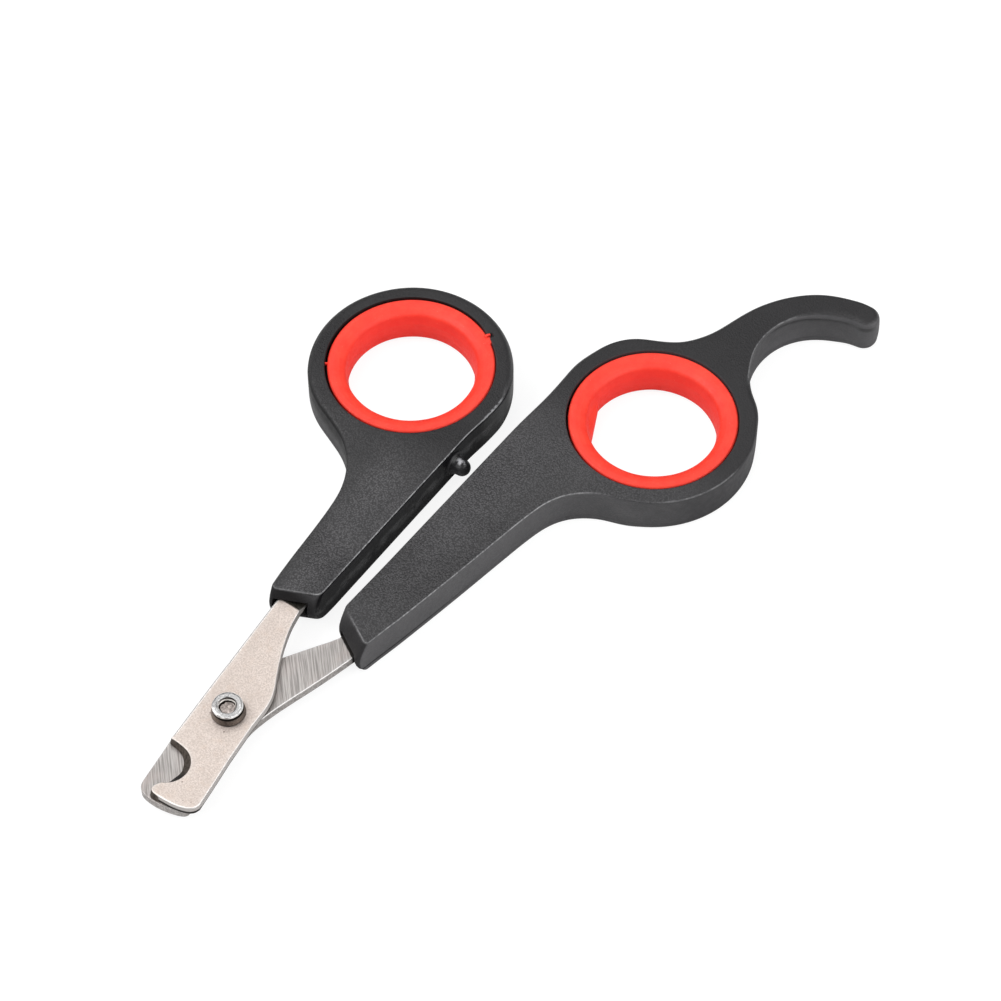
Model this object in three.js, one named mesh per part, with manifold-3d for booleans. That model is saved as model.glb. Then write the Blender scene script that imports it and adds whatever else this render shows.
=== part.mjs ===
// Scissor nail clipper for pets: two stamped steel blades with claw notches, riveted together,
// each held in a moulded handle whose finger ring carries a soft ring insert.
//
// Units are millimetres, +Z up. The origin is on the pivot axis, on the flat face of the rivet's
// head, level with the undersides of both handles: the plane the clipper rests on.
// +X runs from the pivot towards the handles, -X towards the blade tips, which is the front.
// The thumb half lies on +Y, the finger half (with the finger rest) on -Y. The inner edge of
// each handle faces the other handle.
// Parts are modelled with z = 0 at the handles' mid height, then raised by half a handle.
import * as THREE from 'three';
import { mergeVertices } from 'three/addons/utils/BufferGeometryUtils.js';
import Module from 'manifold-3d';

const wasm = await Module();
wasm.setup();
const { degToRad } = THREE.MathUtils;

// ---------------------------------------------------------------- shared dimensions
const HANDLE_T = 6.2;              // handle thickness, both handles
const HANDLE_TOP = HANDLE_T / 2;

const THUMB_RING = [61.1, 15.1];   // ring centres and outer radii
const THUMB_RING_R = 15.0;
const FINGER_RING = [73.55, -18.95];
const FINGER_RING_R = 15.05;

const BLADE_T = 1.4;               // blade sheet
const BLADE_GAP = 0.1;             // play between the two blades
const UPPER_BLADE_TOP = BLADE_GAP / 2 + BLADE_T;
const LOWER_BLADE_BOTTOM = -UPPER_BLADE_TOP;

const BORE_FIXED_R = 1.63;         // bore in the blade the rivet stays with
const BORE_RUNNING_R = 1.66;       // bore in the blade that turns, and in the washer

const ROUND_FACETS = 56;           // facets on ring seats and inserts
const PIVOT_FACETS = 40;
const BORE_FACETS = 48;
const ANCHOR_FACETS = 24;

// ---------------------------------------------------------------- solids
const solid = (geometry) => {
  const bare = geometry.clone();
  bare.deleteAttribute('normal');
  bare.deleteAttribute('uv');
  const merged = mergeVertices(bare, 1e-4);
  return new wasm.Manifold(new wasm.Mesh({
    numProp: 3,
    vertProperties: new Float32Array(merged.attributes.position.array),
    triVerts: new Uint32Array(merged.index.array),
  }));
};

const geometryOf = (manifold) => {
  const { vertProperties, triVerts } = manifold.getMesh();
  const geometry = new THREE.BufferGeometry();
  geometry.setAttribute('position', new THREE.BufferAttribute(new Float32Array(vertProperties), 3));
  geometry.setIndex(new THREE.BufferAttribute(new Uint32Array(triVerts), 1));
  geometry.computeVertexNormals();
  return geometry;
};

const vectors = (points) => points.map(([x, y]) => new THREE.Vector2(x, y));

const extruded = (outline, depth, bevel = { bevelEnabled: false }) =>
  new THREE.ExtrudeGeometry(new THREE.Shape(vectors(outline)), { depth, steps: 1, ...bevel });

// upright prism over a closed outline
const prism = (outline, z0, z1) => solid(extruded(outline, z1 - z0).translate(0, 0, z0));

// side view (x, z) extruded along Y, centred on y = 0
const sideExtruded = (side, width) =>
  extruded(side, width).translate(0, 0, -width / 2).rotateX(Math.PI / 2);

// body of revolution about an upright axis, from a closed (radius, height) profile
const turned = (profile, facets) =>
  solid(new THREE.LatheGeometry(vectors(profile), facets).rotateX(Math.PI / 2));

// removes upright cylinders, reaching halfHeight above and below z = 0
const withoutPosts = (body, places, { radius, halfHeight, facets }) =>
  places.reduce((rest, [x, y]) => {
    const geometry = new THREE.CylinderGeometry(radius, radius, 2 * halfHeight, facets, 1);
    return rest.subtract(solid(geometry.rotateX(Math.PI / 2).translate(x, y, 0)));
  }, body);

// ---------------------------------------------------------------- outline tools
const distance = (from, to) => Math.hypot(to[0] - from[0], to[1] - from[1]);

const between = (from, to, share) =>
  [from[0] + (to[0] - from[0]) * share, from[1] + (to[1] - from[1]) * share];

// points on an arc; angles and the largest step in degrees
const arc = ([x, y], radius, start, end, step) => {
  const count = Math.max(2, Math.ceil(Math.abs(end - start) / step));
  return Array.from({ length: count + 1 }, (_, i) => {
    const angle = degToRad(start + (end - start) * i / count);
    return [x + radius * Math.cos(angle), y + radius * Math.sin(angle)];
  });
};

// smooth open curve through the points
const curve = (points, segments) => new THREE.CatmullRomCurve3(
  points.map(([x, y]) => new THREE.Vector3(x, y, 0)), false, 'centripetal',
).getPoints(segments).map(({ x, y }) => [x, y]);

// drops points that lie on a straight run
const TIDY_TOLERANCE = 0.012;
const tidy = (points) => {
  const keep = (first, last) => {
    const [x0, y0] = points[first];
    const [x1, y1] = points[last];
    const length = distance(points[first], points[last]);
    let farthest = 0;
    let split = -1;
    for (let i = first + 1; i < last; i++) {
      const [x, y] = points[i];
      const offset = Math.abs((x - x0) * (y1 - y0) - (y - y0) * (x1 - x0)) / length;
      if (offset > farthest) {
        farthest = offset;
        split = i;
      }
    }
    return farthest > TIDY_TOLERANCE
      ? [...keep(first, split), ...keep(split, last).slice(1)]
      : [points[first], points[last]];
  };
  return keep(0, points.length - 1);
};

// points that round the corner at point between its neighbours
const CORNER_SEGMENTS = 4;
const rounded = (before, point, after, radius) => {
  const towards = (other) => {
    const length = distance(point, other);
    return [(other[0] - point[0]) / length, (other[1] - point[1]) / length];
  };
  const toBefore = towards(before);
  const toAfter = towards(after);
  const half = Math.acos(toBefore[0] * toAfter[0] + toBefore[1] * toAfter[1]) / 2;
  const middle = [toBefore[0] + toAfter[0], toBefore[1] + toAfter[1]];
  const reach = radius / Math.sin(half) / Math.hypot(...middle);
  const centre = [point[0] + middle[0] * reach, point[1] + middle[1] * reach];
  const tangent = radius / Math.tan(half);
  const touchAngle = ([x, y]) =>
    Math.atan2(point[1] + y * tangent - centre[1], point[0] + x * tangent - centre[0]);
  const start = touchAngle(toBefore);
  const turn = touchAngle(toAfter) - start;
  const sweep = Math.atan2(Math.sin(turn), Math.cos(turn));  // the short way round
  return Array.from({ length: CORNER_SEGMENTS + 1 }, (_, i) => {
    const angle = start + sweep * i / CORNER_SEGMENTS;
    return [centre[0] + radius * Math.cos(angle), centre[1] + radius * Math.sin(angle)];
  });
};

// the unbroken run of an outline's points that pass the test
const runOf = (outline, test) => {
  const count = outline.length;
  const start = outline.findIndex((p, i) => test(p) && !test(outline[(i + count - 1) % count]));
  const points = [];
  for (let i = start; test(outline[i % count]); i++) points.push(outline[i % count]);
  return points;
};

// straight-sided outline grown on every side (convex outlines, anticlockwise)
const grown = (outline, margin) => outline.map((point, i) => {
  const before = outline[(i + outline.length - 1) % outline.length];
  const after = outline[(i + 1) % outline.length];
  const normal = (from, to) => {
    const length = distance(from, to);
    return [(to[1] - from[1]) / length, -(to[0] - from[0]) / length];
  };
  const [x0, y0] = normal(before, point);
  const [x1, y1] = normal(point, after);
  const shift = margin / (1 + x0 * x1 + y0 * y1);
  return [point[0] + (x0 + x1) * shift, point[1] + (y0 + y1) * shift];
});

// ---------------------------------------------------------------- blades
const NOTCH_R = 3.2;               // claw notch radius, upper blade
const LOWER_NOTCH_R = NOTCH_R - 0.2;
const UPPER_NOTCH = [-11.2, 1.6];
const LOWER_NOTCH = [-11.2, -4.1];
const ANCHOR_HOLE_R = 1.0;         // holes in the tangs
const UPPER_ANCHORS = [[25.0, 4.5], [31.5, 4.8]];
const LOWER_ANCHORS = [[26.6, -7.2], [34.2, -8.35]];
const BLADE_CUT = 6;               // half height of the cutters, well clear of the sheet
const TANG_BOTTOM = -BLADE_T / 2;  // both tangs lie at the handles' mid plane

// where the sheet steps towards the tang, measured along the tang's direction (degrees)
const UPPER_FOLD = { start: 18.4, end: 19.9, direction: 0 };
const LOWER_FOLD = { start: 22.6, end: 24.1, direction: -8.6 };
const SHEET = { front: -60, back: 90, width: 120 };

// (x, y) outlines, each with the tang that enters its handle
const UPPER_OUTLINE = [
  [-14.3, -6.0], [-15.1, -5.45], [-15.75, -4.0], [-16.05, -2.0], [-16.05, 0.2],
  [-15.8, 0.75], [-15.2, 0.85], [-14.6, 0.7], [-14.3, 0.55],
  ...arc(UPPER_NOTCH, NOTCH_R, 204, 360, 8), [-8.0, 2.6], [-8.0, 3.62],
  [0, 4.5], [8, 5.2], [16, 5.9], [18.4, 6.1],
  [20.2, 6.15], [36.0, 6.9], [36.6, 6.3], [36.6, 3.5], [36.0, 3.0], [20.2, 2.5],
  [18.4, 2.3], [16, 1.75], [14, 1.1], [12, 0.2], [10, -0.8], [8, -1.9], [6, -3.0],
  [5, -3.4], [4, -3.65], [2, -3.85], [0, -4.0], [-6, -4.8],
].reverse();
const LOWER_OUTLINE = [
  [-15.3, 2.9], [-16.05, 2.3], [-16.35, 1.5], [-16.3, -0.7], [-15.95, -2.8],
  [-15.4, -4.1], [-14.75, -4.7], [-14.3, -4.65],
  ...arc(LOWER_NOTCH, LOWER_NOTCH_R, 187.5, -1, 9),
  [-6, -3.95], [0, -3.5], [2.4, -3.85], [4.9, -4.35], [10.9, -6.1], [17.2, -7.7],
  [20.0, -8.3], [39.6, -11.3], [40.3, -10.9], [40.8, -7.5], [40.3, -7.0], [21.4, -4.6],
  [18.9, -4.25], [15.4, -2.15], [11.9, 0.0], [8.0, 2.3], [4.0, 3.7], [0, 4.3],
  [-4, 4.45], [-7.1, 4.2],
];

// sheet with a step: its underside is at bladeBottom before the fold, at TANG_BOTTOM after it
const joggledSheet = (bladeBottom, fold) => {
  const underside = [
    [SHEET.front, bladeBottom], [fold.start, bladeBottom],
    [fold.end, TANG_BOTTOM], [SHEET.back, TANG_BOTTOM],
  ];
  const topside = underside.map(([x, z]) => [x, z + BLADE_T]).reverse();
  const sheet = sideExtruded([...underside, ...topside], SHEET.width);
  return solid(sheet.rotateZ(degToRad(fold.direction)));
};

const blade = ({ outline, bottom, fold, boreRadius, anchors }) => {
  const blank = prism(outline, -BLADE_CUT, BLADE_CUT).intersect(joggledSheet(bottom, fold));
  const bored = withoutPosts(blank, [[0, 0]], {
    radius: boreRadius, halfHeight: BLADE_CUT, facets: BORE_FACETS,
  });
  return withoutPosts(bored, anchors, {
    radius: ANCHOR_HOLE_R, halfHeight: BLADE_CUT, facets: ANCHOR_FACETS,
  });
};

const upperBlade = () => blade({
  outline: UPPER_OUTLINE,
  bottom: BLADE_GAP / 2,
  fold: UPPER_FOLD,
  boreRadius: BORE_RUNNING_R,
  anchors: UPPER_ANCHORS,
});

const lowerBlade = () => blade({
  outline: LOWER_OUTLINE,
  bottom: LOWER_BLADE_BOTTOM,
  fold: LOWER_FOLD,
  boreRadius: BORE_FIXED_R,
  anchors: LOWER_ANCHORS,
});

// ---------------------------------------------------------------- handle outlines
const RING_STEP = 5.6;             // degrees per point around the rings

// Front walls run from the -Y corner to the +Y corner.
const THUMB_FRONT = [[20.15, 0.75], [17.05, 7.2]];
const FINGER_FRONT = [[16.75, -9.0], [20.15, -2.96]];

// (x, y) points: outer edge from front to ring, inner edge from ring to front
const THUMB_OUTER = [
  [20.1, 7.62], [24.8, 8.1], [29.5, 8.5], [34.0, 9.0], [36.8, 9.5], [39.3, 10.4],
  [41.8, 11.95], [43.9, 14.0], [45.3, 16.2], [46.15, 18.2],
];
const THUMB_INNER = [[59.5, 0.35], [56.0, 0.7], [52.0, 0.75]];

// front wall, outer edge, ring, inner edge; cornerRadii follow the front wall's corners
const thumbOutline = (front, cornerRadii) => {
  const ring = arc(THUMB_RING, THUMB_RING_R, 162, -84, RING_STEP);
  const outer = curve([...THUMB_OUTER, ring[0]], 60).filter(([x]) => x > front[1][0] + 2.5);
  const inner = curve([ring.at(-1), ...THUMB_INNER], 12);
  return [
    ...rounded(THUMB_INNER.at(-1), front[0], front[1], cornerRadii[0]),
    ...rounded(front[0], front[1], outer[0], cornerRadii[1]),
    ...tidy([...outer.slice(0, -1), ...ring, ...inner.slice(1)]),
  ].reverse();
};

const REST_TIP = [107.75, -33.35]; // round end of the finger rest
const REST_TIP_R = 1.75;

// (x, y) points, in order around the finger handle
const FINGER_INNER_START = [31.0, -3.3];
const FINGER_INNER = [[51.2, -3.72], [62.0, -3.95], [68.0, -4.1], [71.5, -4.08]];
const REST_CONVEX = [              // from ring to tip
  [86.6, -12.1], [87.95, -14.3], [89.5, -15.8], [91.3, -16.9], [93.4, -17.7],
  [95.5, -18.3], [97.8, -19.0], [99.9, -19.85], [101.8, -20.9], [103.6, -22.15],
  [105.3, -23.7], [106.7, -25.4], [107.9, -27.4], [108.75, -29.6], [109.3, -31.5],
];
const REST_CONCAVE = [             // from tip to ring
  [105.75, -32.0], [105.0, -30.1], [104.0, -28.2], [102.6, -26.5], [100.9, -25.15],
  [99.0, -24.2], [96.8, -23.65], [94.6, -23.55], [92.3, -23.9], [90.2, -24.7],
  [88.4, -25.75], [86.9, -26.95], [85.75, -28.25], [84.9, -29.35], [83.75, -30.4],
  [82.4, -31.35],
];
const FINGER_OUTER = [             // from ring to front
  [59.05, -23.2], [58.4, -21.1], [57.3, -19.05], [55.9, -17.35], [54.1, -16.0],
  [52.0, -15.1], [49.9, -14.6], [47.8, -14.2], [43.4, -13.5], [34.5, -12.1],
  [25.7, -10.6], [20.6, -9.7],
];

// front wall, inner edge, ring, finger rest, ring, outer edge
const fingerOutline = (front, cornerRadii) => {
  const ringTop = arc(FINGER_RING, FINGER_RING_R, 84, 38, RING_STEP);
  const ringBottom = arc(FINGER_RING, FINGER_RING_R, -59, -156, RING_STEP);
  const tip = arc(REST_TIP, REST_TIP_R, 12, -162, 25);
  const inner = curve([...FINGER_INNER, ringTop[0]], 24);
  const restConvex = curve([ringTop.at(-1), ...REST_CONVEX, tip[0]], 90);
  const restConcave = curve([tip.at(-1), ...REST_CONCAVE], 80);
  const outer = curve([ringBottom.at(-1), ...FINGER_OUTER], 70)
    .filter(([x]) => x > front[0][0] + 3);
  return [
    ...rounded(outer.at(-1), front[0], front[1], cornerRadii[0]),
    ...rounded(front[0], front[1], FINGER_INNER_START, cornerRadii[1]),
    FINGER_INNER_START,
    ...tidy([...inner, ...ringTop.slice(1), ...restConvex.slice(1)]).slice(0, -1),
    ...tip,
    ...tidy([...restConcave, ...ringBottom, ...outer.slice(1)]).slice(1),
  ].reverse();
};

// Each handle joins a crisp-edged shank to a soft-edged ring. The soft outline starts further
// back; the crisp one stops at the ring and closes with two points inside the soft one.
const THUMB_SOFT = thumbOutline([[26.5, 0.75], [24.2, 8.0]], [1.6, 1.6]);
const THUMB_CRISP = [
  ...runOf(thumbOutline(THUMB_FRONT, [1.5, 0.8]), ([x, y]) => x < (y > 3.9 ? 42 : 53)),
  [57.0, 3.2], [44.5, 12.3],
];
const FINGER_SOFT = fingerOutline([[24.5, -10.39], [26.5, -3.15]], [1.6, 1.6]);
const FINGER_CRISP = [
  ...runOf(fingerOutline(FINGER_FRONT, [0.8, 1.2]), ([x, y]) => x < (y > -6.5 ? 65 : 54.5)),
  [57.5, -15.2], [64.5, -6.8],
];

// ---------------------------------------------------------------- handles
const CRISP_EDGE = { size: 0.3, segments: 1 };    // along the shanks
const SOFT_EDGE = { size: 1.15, segments: 3 };    // around the rings and the finger rest
const THUMB_DRAFT = { length: 1.1, height: 2.2 }; // slopes at the front walls
const FINGER_DRAFT = { length: 1.6, height: 2.3 };

const plate = (outline, { size, segments }) => solid(extruded(outline, HANDLE_T - 2 * size, {
  bevelEnabled: true,
  bevelThickness: size,
  bevelSize: size,
  bevelOffset: -size,
  bevelSegments: segments,
  curveSegments: 1,
}).translate(0, 0, -HANDLE_TOP + size));

// wedges that slope the top and bottom edges of the front wall
const noseWedges = ([start, end], { length, height }) => {
  const excess = 3;                // how far the wedges stand clear of the handle
  const side = [
    [-excess, HANDLE_TOP + excess], [-excess, HANDLE_TOP - height], [0, HANDLE_TOP - height],
    [length * (1 + excess / height), HANDLE_TOP + excess],
  ];
  const angle = Math.atan2(end[1] - start[1], end[0] - start[0]) - Math.PI / 2;
  const [x, y] = between(start, end, 0.5);
  const wedge = (flip) => {
    const profile = side.map(([across, z]) => [across, z * flip]);
    const geometry = sideExtruded(profile, distance(start, end) + 8);
    return solid(geometry.rotateZ(angle).translate(x, y, 0));
  };
  return wedge(1).add(wedge(-1));
};

const handleBody = (crisp, soft, front, draft) => plate(crisp, CRISP_EDGE)
  .add(plate(soft, SOFT_EDGE))
  .subtract(noseWedges(front, draft));

// hole for a ring insert, waisted by the rib that keeps the insert in
const RING_SEAT_R = 12.45;
const RIB_R = 11.75;
const RIB_H = 1.7;
const RIB_SLOPE = 0.25;            // height of the rib's sloped flanks
const ringSeat = ([x, y]) => {
  const end = HANDLE_TOP + 1;
  const foot = RIB_H / 2;
  const crest = foot - RIB_SLOPE;
  return turned([
    [0, -end], [RING_SEAT_R, -end], [RING_SEAT_R, -foot], [RIB_R, -crest],
    [RIB_R, crest], [RING_SEAT_R, foot], [RING_SEAT_R, end], [0, end],
  ], ROUND_FACETS).translate([x, y, 0]);
};

// tang pockets: corners are -Y front, -Y back, +Y back, +Y front
const UPPER_POCKET = [[17.6, 2.25], [36.8, 2.9], [36.8, 7.0], [17.6, 6.12]];
const LOWER_POCKET = [[16.2, -7.75], [40.4, -11.45], [41.2, -7.0], [18.2, -3.75]];
const POCKET_GAP = 0.15;           // clearance around a tang
const ANCHOR_PILLAR_R = 0.85;      // handle material that passes through the tang's holes

// Pocket for a tang: a mouth tall enough for the blade's step, then a slot at mid height with
// pillars left standing. The mouth's share is its part of the pocket's length.
const tangPocket = (outline, anchors, mouth) => {
  const slotTop = BLADE_T / 2 + POCKET_GAP;
  const slot = prism(grown(outline, POCKET_GAP), -slotTop, slotTop);
  const [frontLow, backLow, backHigh, frontHigh] = grown(outline, mouth.margin);
  const opening = prism([
    frontLow,
    between(frontLow, backLow, mouth.share),
    between(frontHigh, backHigh, mouth.share),
    frontHigh,
  ], mouth.bottom, mouth.top);
  return withoutPosts(slot.add(opening), anchors, {
    radius: ANCHOR_PILLAR_R, halfHeight: slotTop + 1, facets: ANCHOR_FACETS,
  });
};

// closing stop: round-ended peg pointing to -Y out of the thumb handle's inner wall
const STOP_X = 52.2;
const STOP_R = 1.55;
const STOP_TIP_Y = -2.0;
const STOP_ROOT = 3.6 + STOP_R;    // peg length behind the centre of its round end
const stopPeg = () => {
  const steps = 6;
  const end = Array.from({ length: steps }, (_, i) => {
    const angle = i / steps * Math.PI / 2;
    return [STOP_R * Math.cos(angle), STOP_R * Math.sin(angle)];
  });
  const profile = [[0, -STOP_ROOT], [STOP_R, -STOP_ROOT], ...end, [0, STOP_R]];
  const geometry = new THREE.LatheGeometry(vectors(profile), 24);
  return solid(geometry.rotateX(Math.PI).translate(STOP_X, STOP_TIP_Y + STOP_R, 0));
};

// block across the thumb ring's seam, at the insert's moulding gate
const GATE_ANGLE = -29.5;          // degrees
const gateBlock = ({ inner, outer, width, bottom, top }) => {
  const geometry = new THREE.BoxGeometry(outer - inner, width, top - bottom)
    .translate((inner + outer) / 2, 0, (bottom + top) / 2)
    .rotateZ(degToRad(GATE_ANGLE));
  return solid(geometry.translate(...THUMB_RING, 0));
};

const thumbHandle = () => handleBody(THUMB_CRISP, THUMB_SOFT, THUMB_FRONT, THUMB_DRAFT)
  .add(stopPeg())
  .subtract(ringSeat(THUMB_RING))
  .subtract(tangPocket(UPPER_POCKET, UPPER_ANCHORS, {
    share: 0.16, margin: 0.3, bottom: -1.0, top: UPPER_BLADE_TOP + 0.25,
  }))
  .subtract(gateBlock({
    inner: 11.5, outer: 13.5, width: 1.7, bottom: HANDLE_TOP - 0.8, top: HANDLE_T,
  }));

const fingerHandle = () => handleBody(FINGER_CRISP, FINGER_SOFT, FINGER_FRONT, FINGER_DRAFT)
  .subtract(ringSeat(FINGER_RING))
  .subtract(tangPocket(LOWER_POCKET, LOWER_ANCHORS, {
    share: 0.36, margin: 0.15, bottom: LOWER_BLADE_BOTTOM - 0.15, top: 0.85,
  }));

// ---------------------------------------------------------------- ring inserts
const INSERT_R = 12.25;            // outer radius
const INSERT_BORE_R = 9.33;        // finger opening
const INSERT_TOP = 5.5 / 2;        // half its height, a little under the handle's
const INSERT_EDGE = 0.25;          // chamfers on the outer edges and in the groove
const GROOVE_R = 11.6;             // groove over the handle's rib
const GROOVE_TOP = 1.95 / 2;

// (radius, height) profile: groove, outer wall and top, bore, bottom, back to the groove
const INSERT_PROFILE = [
  [GROOVE_R, INSERT_EDGE - GROOVE_TOP], [GROOVE_R, GROOVE_TOP - INSERT_EDGE],
  [INSERT_R, GROOVE_TOP], [INSERT_R, INSERT_TOP - INSERT_EDGE],
  [INSERT_R - INSERT_EDGE, INSERT_TOP], [11.0, INSERT_TOP], [10.1, 2.4],
  [INSERT_BORE_R + 0.3, 1.95], [INSERT_BORE_R, 1.45],
  [INSERT_BORE_R, -1.95], [INSERT_BORE_R + 0.25, -2.3],
  [10.1, -2.6], [11.0, -INSERT_TOP], [INSERT_R - INSERT_EDGE, -INSERT_TOP],
  [INSERT_R, INSERT_EDGE - INSERT_TOP], [INSERT_R, -GROOVE_TOP],
  [GROOVE_R, INSERT_EDGE - GROOVE_TOP],
];

const ringInsert = ([x, y]) => turned(INSERT_PROFILE, ROUND_FACETS).translate([x, y, 0]);

// the thumb insert keeps the nib of its moulding gate
const thumbInsert = () => ringInsert(THUMB_RING).add(gateBlock({
  inner: 11.6, outer: 13.25, width: 1.15, bottom: HANDLE_TOP - 0.65, top: HANDLE_TOP + 0.05,
}));

// ---------------------------------------------------------------- pivot
const SHANK_R = 1.6;
const HOLE_R = 1.25;               // hollow end of the semi-tubular rivet
const HOLE_DEPTH = 1.1;
const ROLL_R = 2.25;               // rolled-over end
const ROLL_H = 0.93;
const HEAD_R = 2.75;
const WASHER_R = 2.35;
const WASHER_T = 0.6;
const RIVET_PLAY = 0.02;           // under the lower blade and over the washer
const WASHER_BOTTOM = UPPER_BLADE_TOP + 0.05;
const WASHER_TOP = WASHER_BOTTOM + WASHER_T;

const pivotRivet = () => {
  const headFace = -HANDLE_TOP;    // level with the handles' undersides
  const headTop = LOWER_BLADE_BOTTOM - RIVET_PLAY;
  const roll = WASHER_TOP + RIVET_PLAY;
  const holeFloor = roll + ROLL_H - HOLE_DEPTH;
  return turned([
    [0, headFace], [HEAD_R - 0.55, headFace], [HEAD_R - 0.15, headFace + 0.2],
    [HEAD_R, headFace + 0.6], [HEAD_R, headTop],
    [SHANK_R, headTop], [SHANK_R, roll],
    [ROLL_R - 0.1, roll], [ROLL_R, roll + 0.2], [ROLL_R, roll + 0.6],
    [ROLL_R - 0.2, roll + 0.85], [ROLL_R - 0.5, roll + ROLL_H],
    [HOLE_R + 0.25, roll + 0.9], [HOLE_R, roll + 0.6], [HOLE_R, holeFloor], [0, holeFloor],
  ], PIVOT_FACETS);
};

const rivetWasher = () => turned([
  [BORE_RUNNING_R, WASHER_BOTTOM], [WASHER_R, WASHER_BOTTOM], [WASHER_R, WASHER_TOP],
  [BORE_RUNNING_R, WASHER_TOP], [BORE_RUNNING_R, WASHER_BOTTOM],
], PIVOT_FACETS);

// ---------------------------------------------------------------- materials
const metal = (look) => new THREE.MeshStandardMaterial({ ...look, metalness: 1 });
const moulded = (look) => new THREE.MeshStandardMaterial({ ...look, metalness: 0 });

const satinSteel = () => metal({ color: 0xcfc3ba, roughness: 0.38 });
const groundSteel = () => metal({ color: 0xb4b0ad, roughness: 0.32 });
const rivetSteel = () => metal({ color: 0xc4c3c1, roughness: 0.25 });
const washerSteel = () => metal({ color: 0x8d7c70, roughness: 0.4 });
const blackPlastic = () => moulded({ color: 0x1d1d1f, roughness: 0.55 });
const redRubber = () => moulded({ color: 0xe2231a, roughness: 0.5 });

// ---------------------------------------------------------------- scene
const part = (name, manifold, material) => {
  const mesh = new THREE.Mesh(geometryOf(manifold), material);
  mesh.name = name;
  return mesh;
};

// one half of the clipper, raised so that the handles rest on z = 0
const half = (...parts) => {
  const group = new THREE.Group();
  group.add(...parts);
  group.position.z = HANDLE_TOP;
  return group;
};

// the finger half stays put; the thumb half turns on the rivet
const fingerHalf = half(
  part('lower_blade', lowerBlade(), groundSteel()),
  part('finger_handle', fingerHandle(), blackPlastic()),
  part('finger_ring_insert', ringInsert(FINGER_RING), redRubber()),
  part('pivot_rivet', pivotRivet(), rivetSteel()),
  part('rivet_washer', rivetWasher(), washerSteel()),
);
const thumbHalf = half(
  part('upper_blade', upperBlade(), satinSteel()),
  part('thumb_handle', thumbHandle(), blackPlastic()),
  part('thumb_ring_insert', thumbInsert(), redRubber()),
);

const clipper = new THREE.Group();
clipper.add(fingerHalf, thumbHalf);

export default clipper;
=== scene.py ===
import math

import bmesh
import bpy
import numpy as np
from mathutils import Matrix, Vector, geometry, noise


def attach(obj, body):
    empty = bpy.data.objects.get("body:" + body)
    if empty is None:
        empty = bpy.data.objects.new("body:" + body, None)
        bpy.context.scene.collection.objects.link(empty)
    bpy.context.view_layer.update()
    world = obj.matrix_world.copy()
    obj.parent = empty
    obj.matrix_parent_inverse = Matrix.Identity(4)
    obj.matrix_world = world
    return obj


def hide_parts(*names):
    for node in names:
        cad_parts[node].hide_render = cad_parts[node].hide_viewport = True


# Scissor nail clipper lying flat. The blades' tips point to -X and the handles run to +X, the thumb
# half's on the +Y side. Shapes are in millimetres, with the origin on the pivot and z 0 the resting
# plane, and are turned to metres when a mesh is made.
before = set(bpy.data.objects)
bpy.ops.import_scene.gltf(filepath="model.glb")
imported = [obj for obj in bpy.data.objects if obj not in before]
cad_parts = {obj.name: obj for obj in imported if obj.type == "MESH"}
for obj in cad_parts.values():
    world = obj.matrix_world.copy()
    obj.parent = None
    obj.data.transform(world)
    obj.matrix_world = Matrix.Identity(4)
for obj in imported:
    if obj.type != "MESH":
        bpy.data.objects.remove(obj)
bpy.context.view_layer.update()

MM = 0.001
HANDLE_TOP = 6.2                        # handle thickness
HANDLE_MID = HANDLE_TOP / 2             # height of the rib that holds the ring inserts
PARTING_Z = 1.05                        # mould parting line round the handles
THUMB_RING, THUMB_RADIUS = (61.1, 15.1), 15.0
FINGER_RING, FINGER_RADIUS = (73.55, -18.95), 15.05
SEAT_RADIUS, RIB_RADIUS = 12.45, 11.75
NOTCH_ANGLE = math.radians(-29.5)       # notch in the thumb ring's seat, and the insert's nib
SHEET = 1.4                             # blade thickness
HEAD_SHIFT = (0.2, 0.02)                # how far the rivet's rolled end spreads towards -X and -Y


# ------------------------------------------------------------------ curves in the plane
def ease(low, high, value):
    """Smooth rise from 0 at low to 1 at high."""
    part = np.clip((np.asarray(value, float) - low) / (high - low), 0, 1)
    return part * part * (3 - 2 * part)


def unit(vector):
    return vector / np.linalg.norm(vector)


def unit_rows(vectors):
    return vectors / np.linalg.norm(vectors, axis=1)[:, None]


def turned_left(vectors):
    return np.stack([-vectors[:, 1], vectors[:, 0]], 1)


def polar(centre, radius, angle):
    return (centre[0] + radius * math.cos(angle), centre[1] + radius * math.sin(angle))


def arc(centre, radius, start, end, spacing=2.0):
    """Points on an arc; angles in degrees."""
    count = max(2, int(math.ceil(abs(end - start) / spacing)))
    return [polar(centre, radius, math.radians(start + (end - start) * i / count))
            for i in range(count + 1)]


def spline(points, spacing=0.25):
    """Smooth open curve through the points (centripetal)."""
    knots = [np.array(point, float) for point in points]
    knots = [2 * knots[0] - knots[1]] + knots + [2 * knots[-1] - knots[-2]]
    curve = []
    for i in range(1, len(knots) - 2):
        near = knots[i - 1:i + 3]
        time = [0.0]
        for k in range(3):
            time.append(time[k] + np.linalg.norm(near[k + 1] - near[k]) ** 0.5)
        count = max(1, int(round(np.linalg.norm(near[2] - near[1]) / spacing)))
        for j in range(count):
            now = time[1] + (time[2] - time[1]) * j / count
            row = near
            # each round blends neighbours between two knot times
            for spans in (((0, 1), (1, 2), (2, 3)), ((0, 2), (1, 3)), ((1, 2),)):
                row = [(time[end] - now) / (time[end] - time[start]) * row[k]
                       + (now - time[start]) / (time[end] - time[start]) * row[k + 1]
                       for k, (start, end) in enumerate(spans)]
            curve.append(tuple(row[0]))
    curve.append(tuple(knots[-2]))
    return curve


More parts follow.
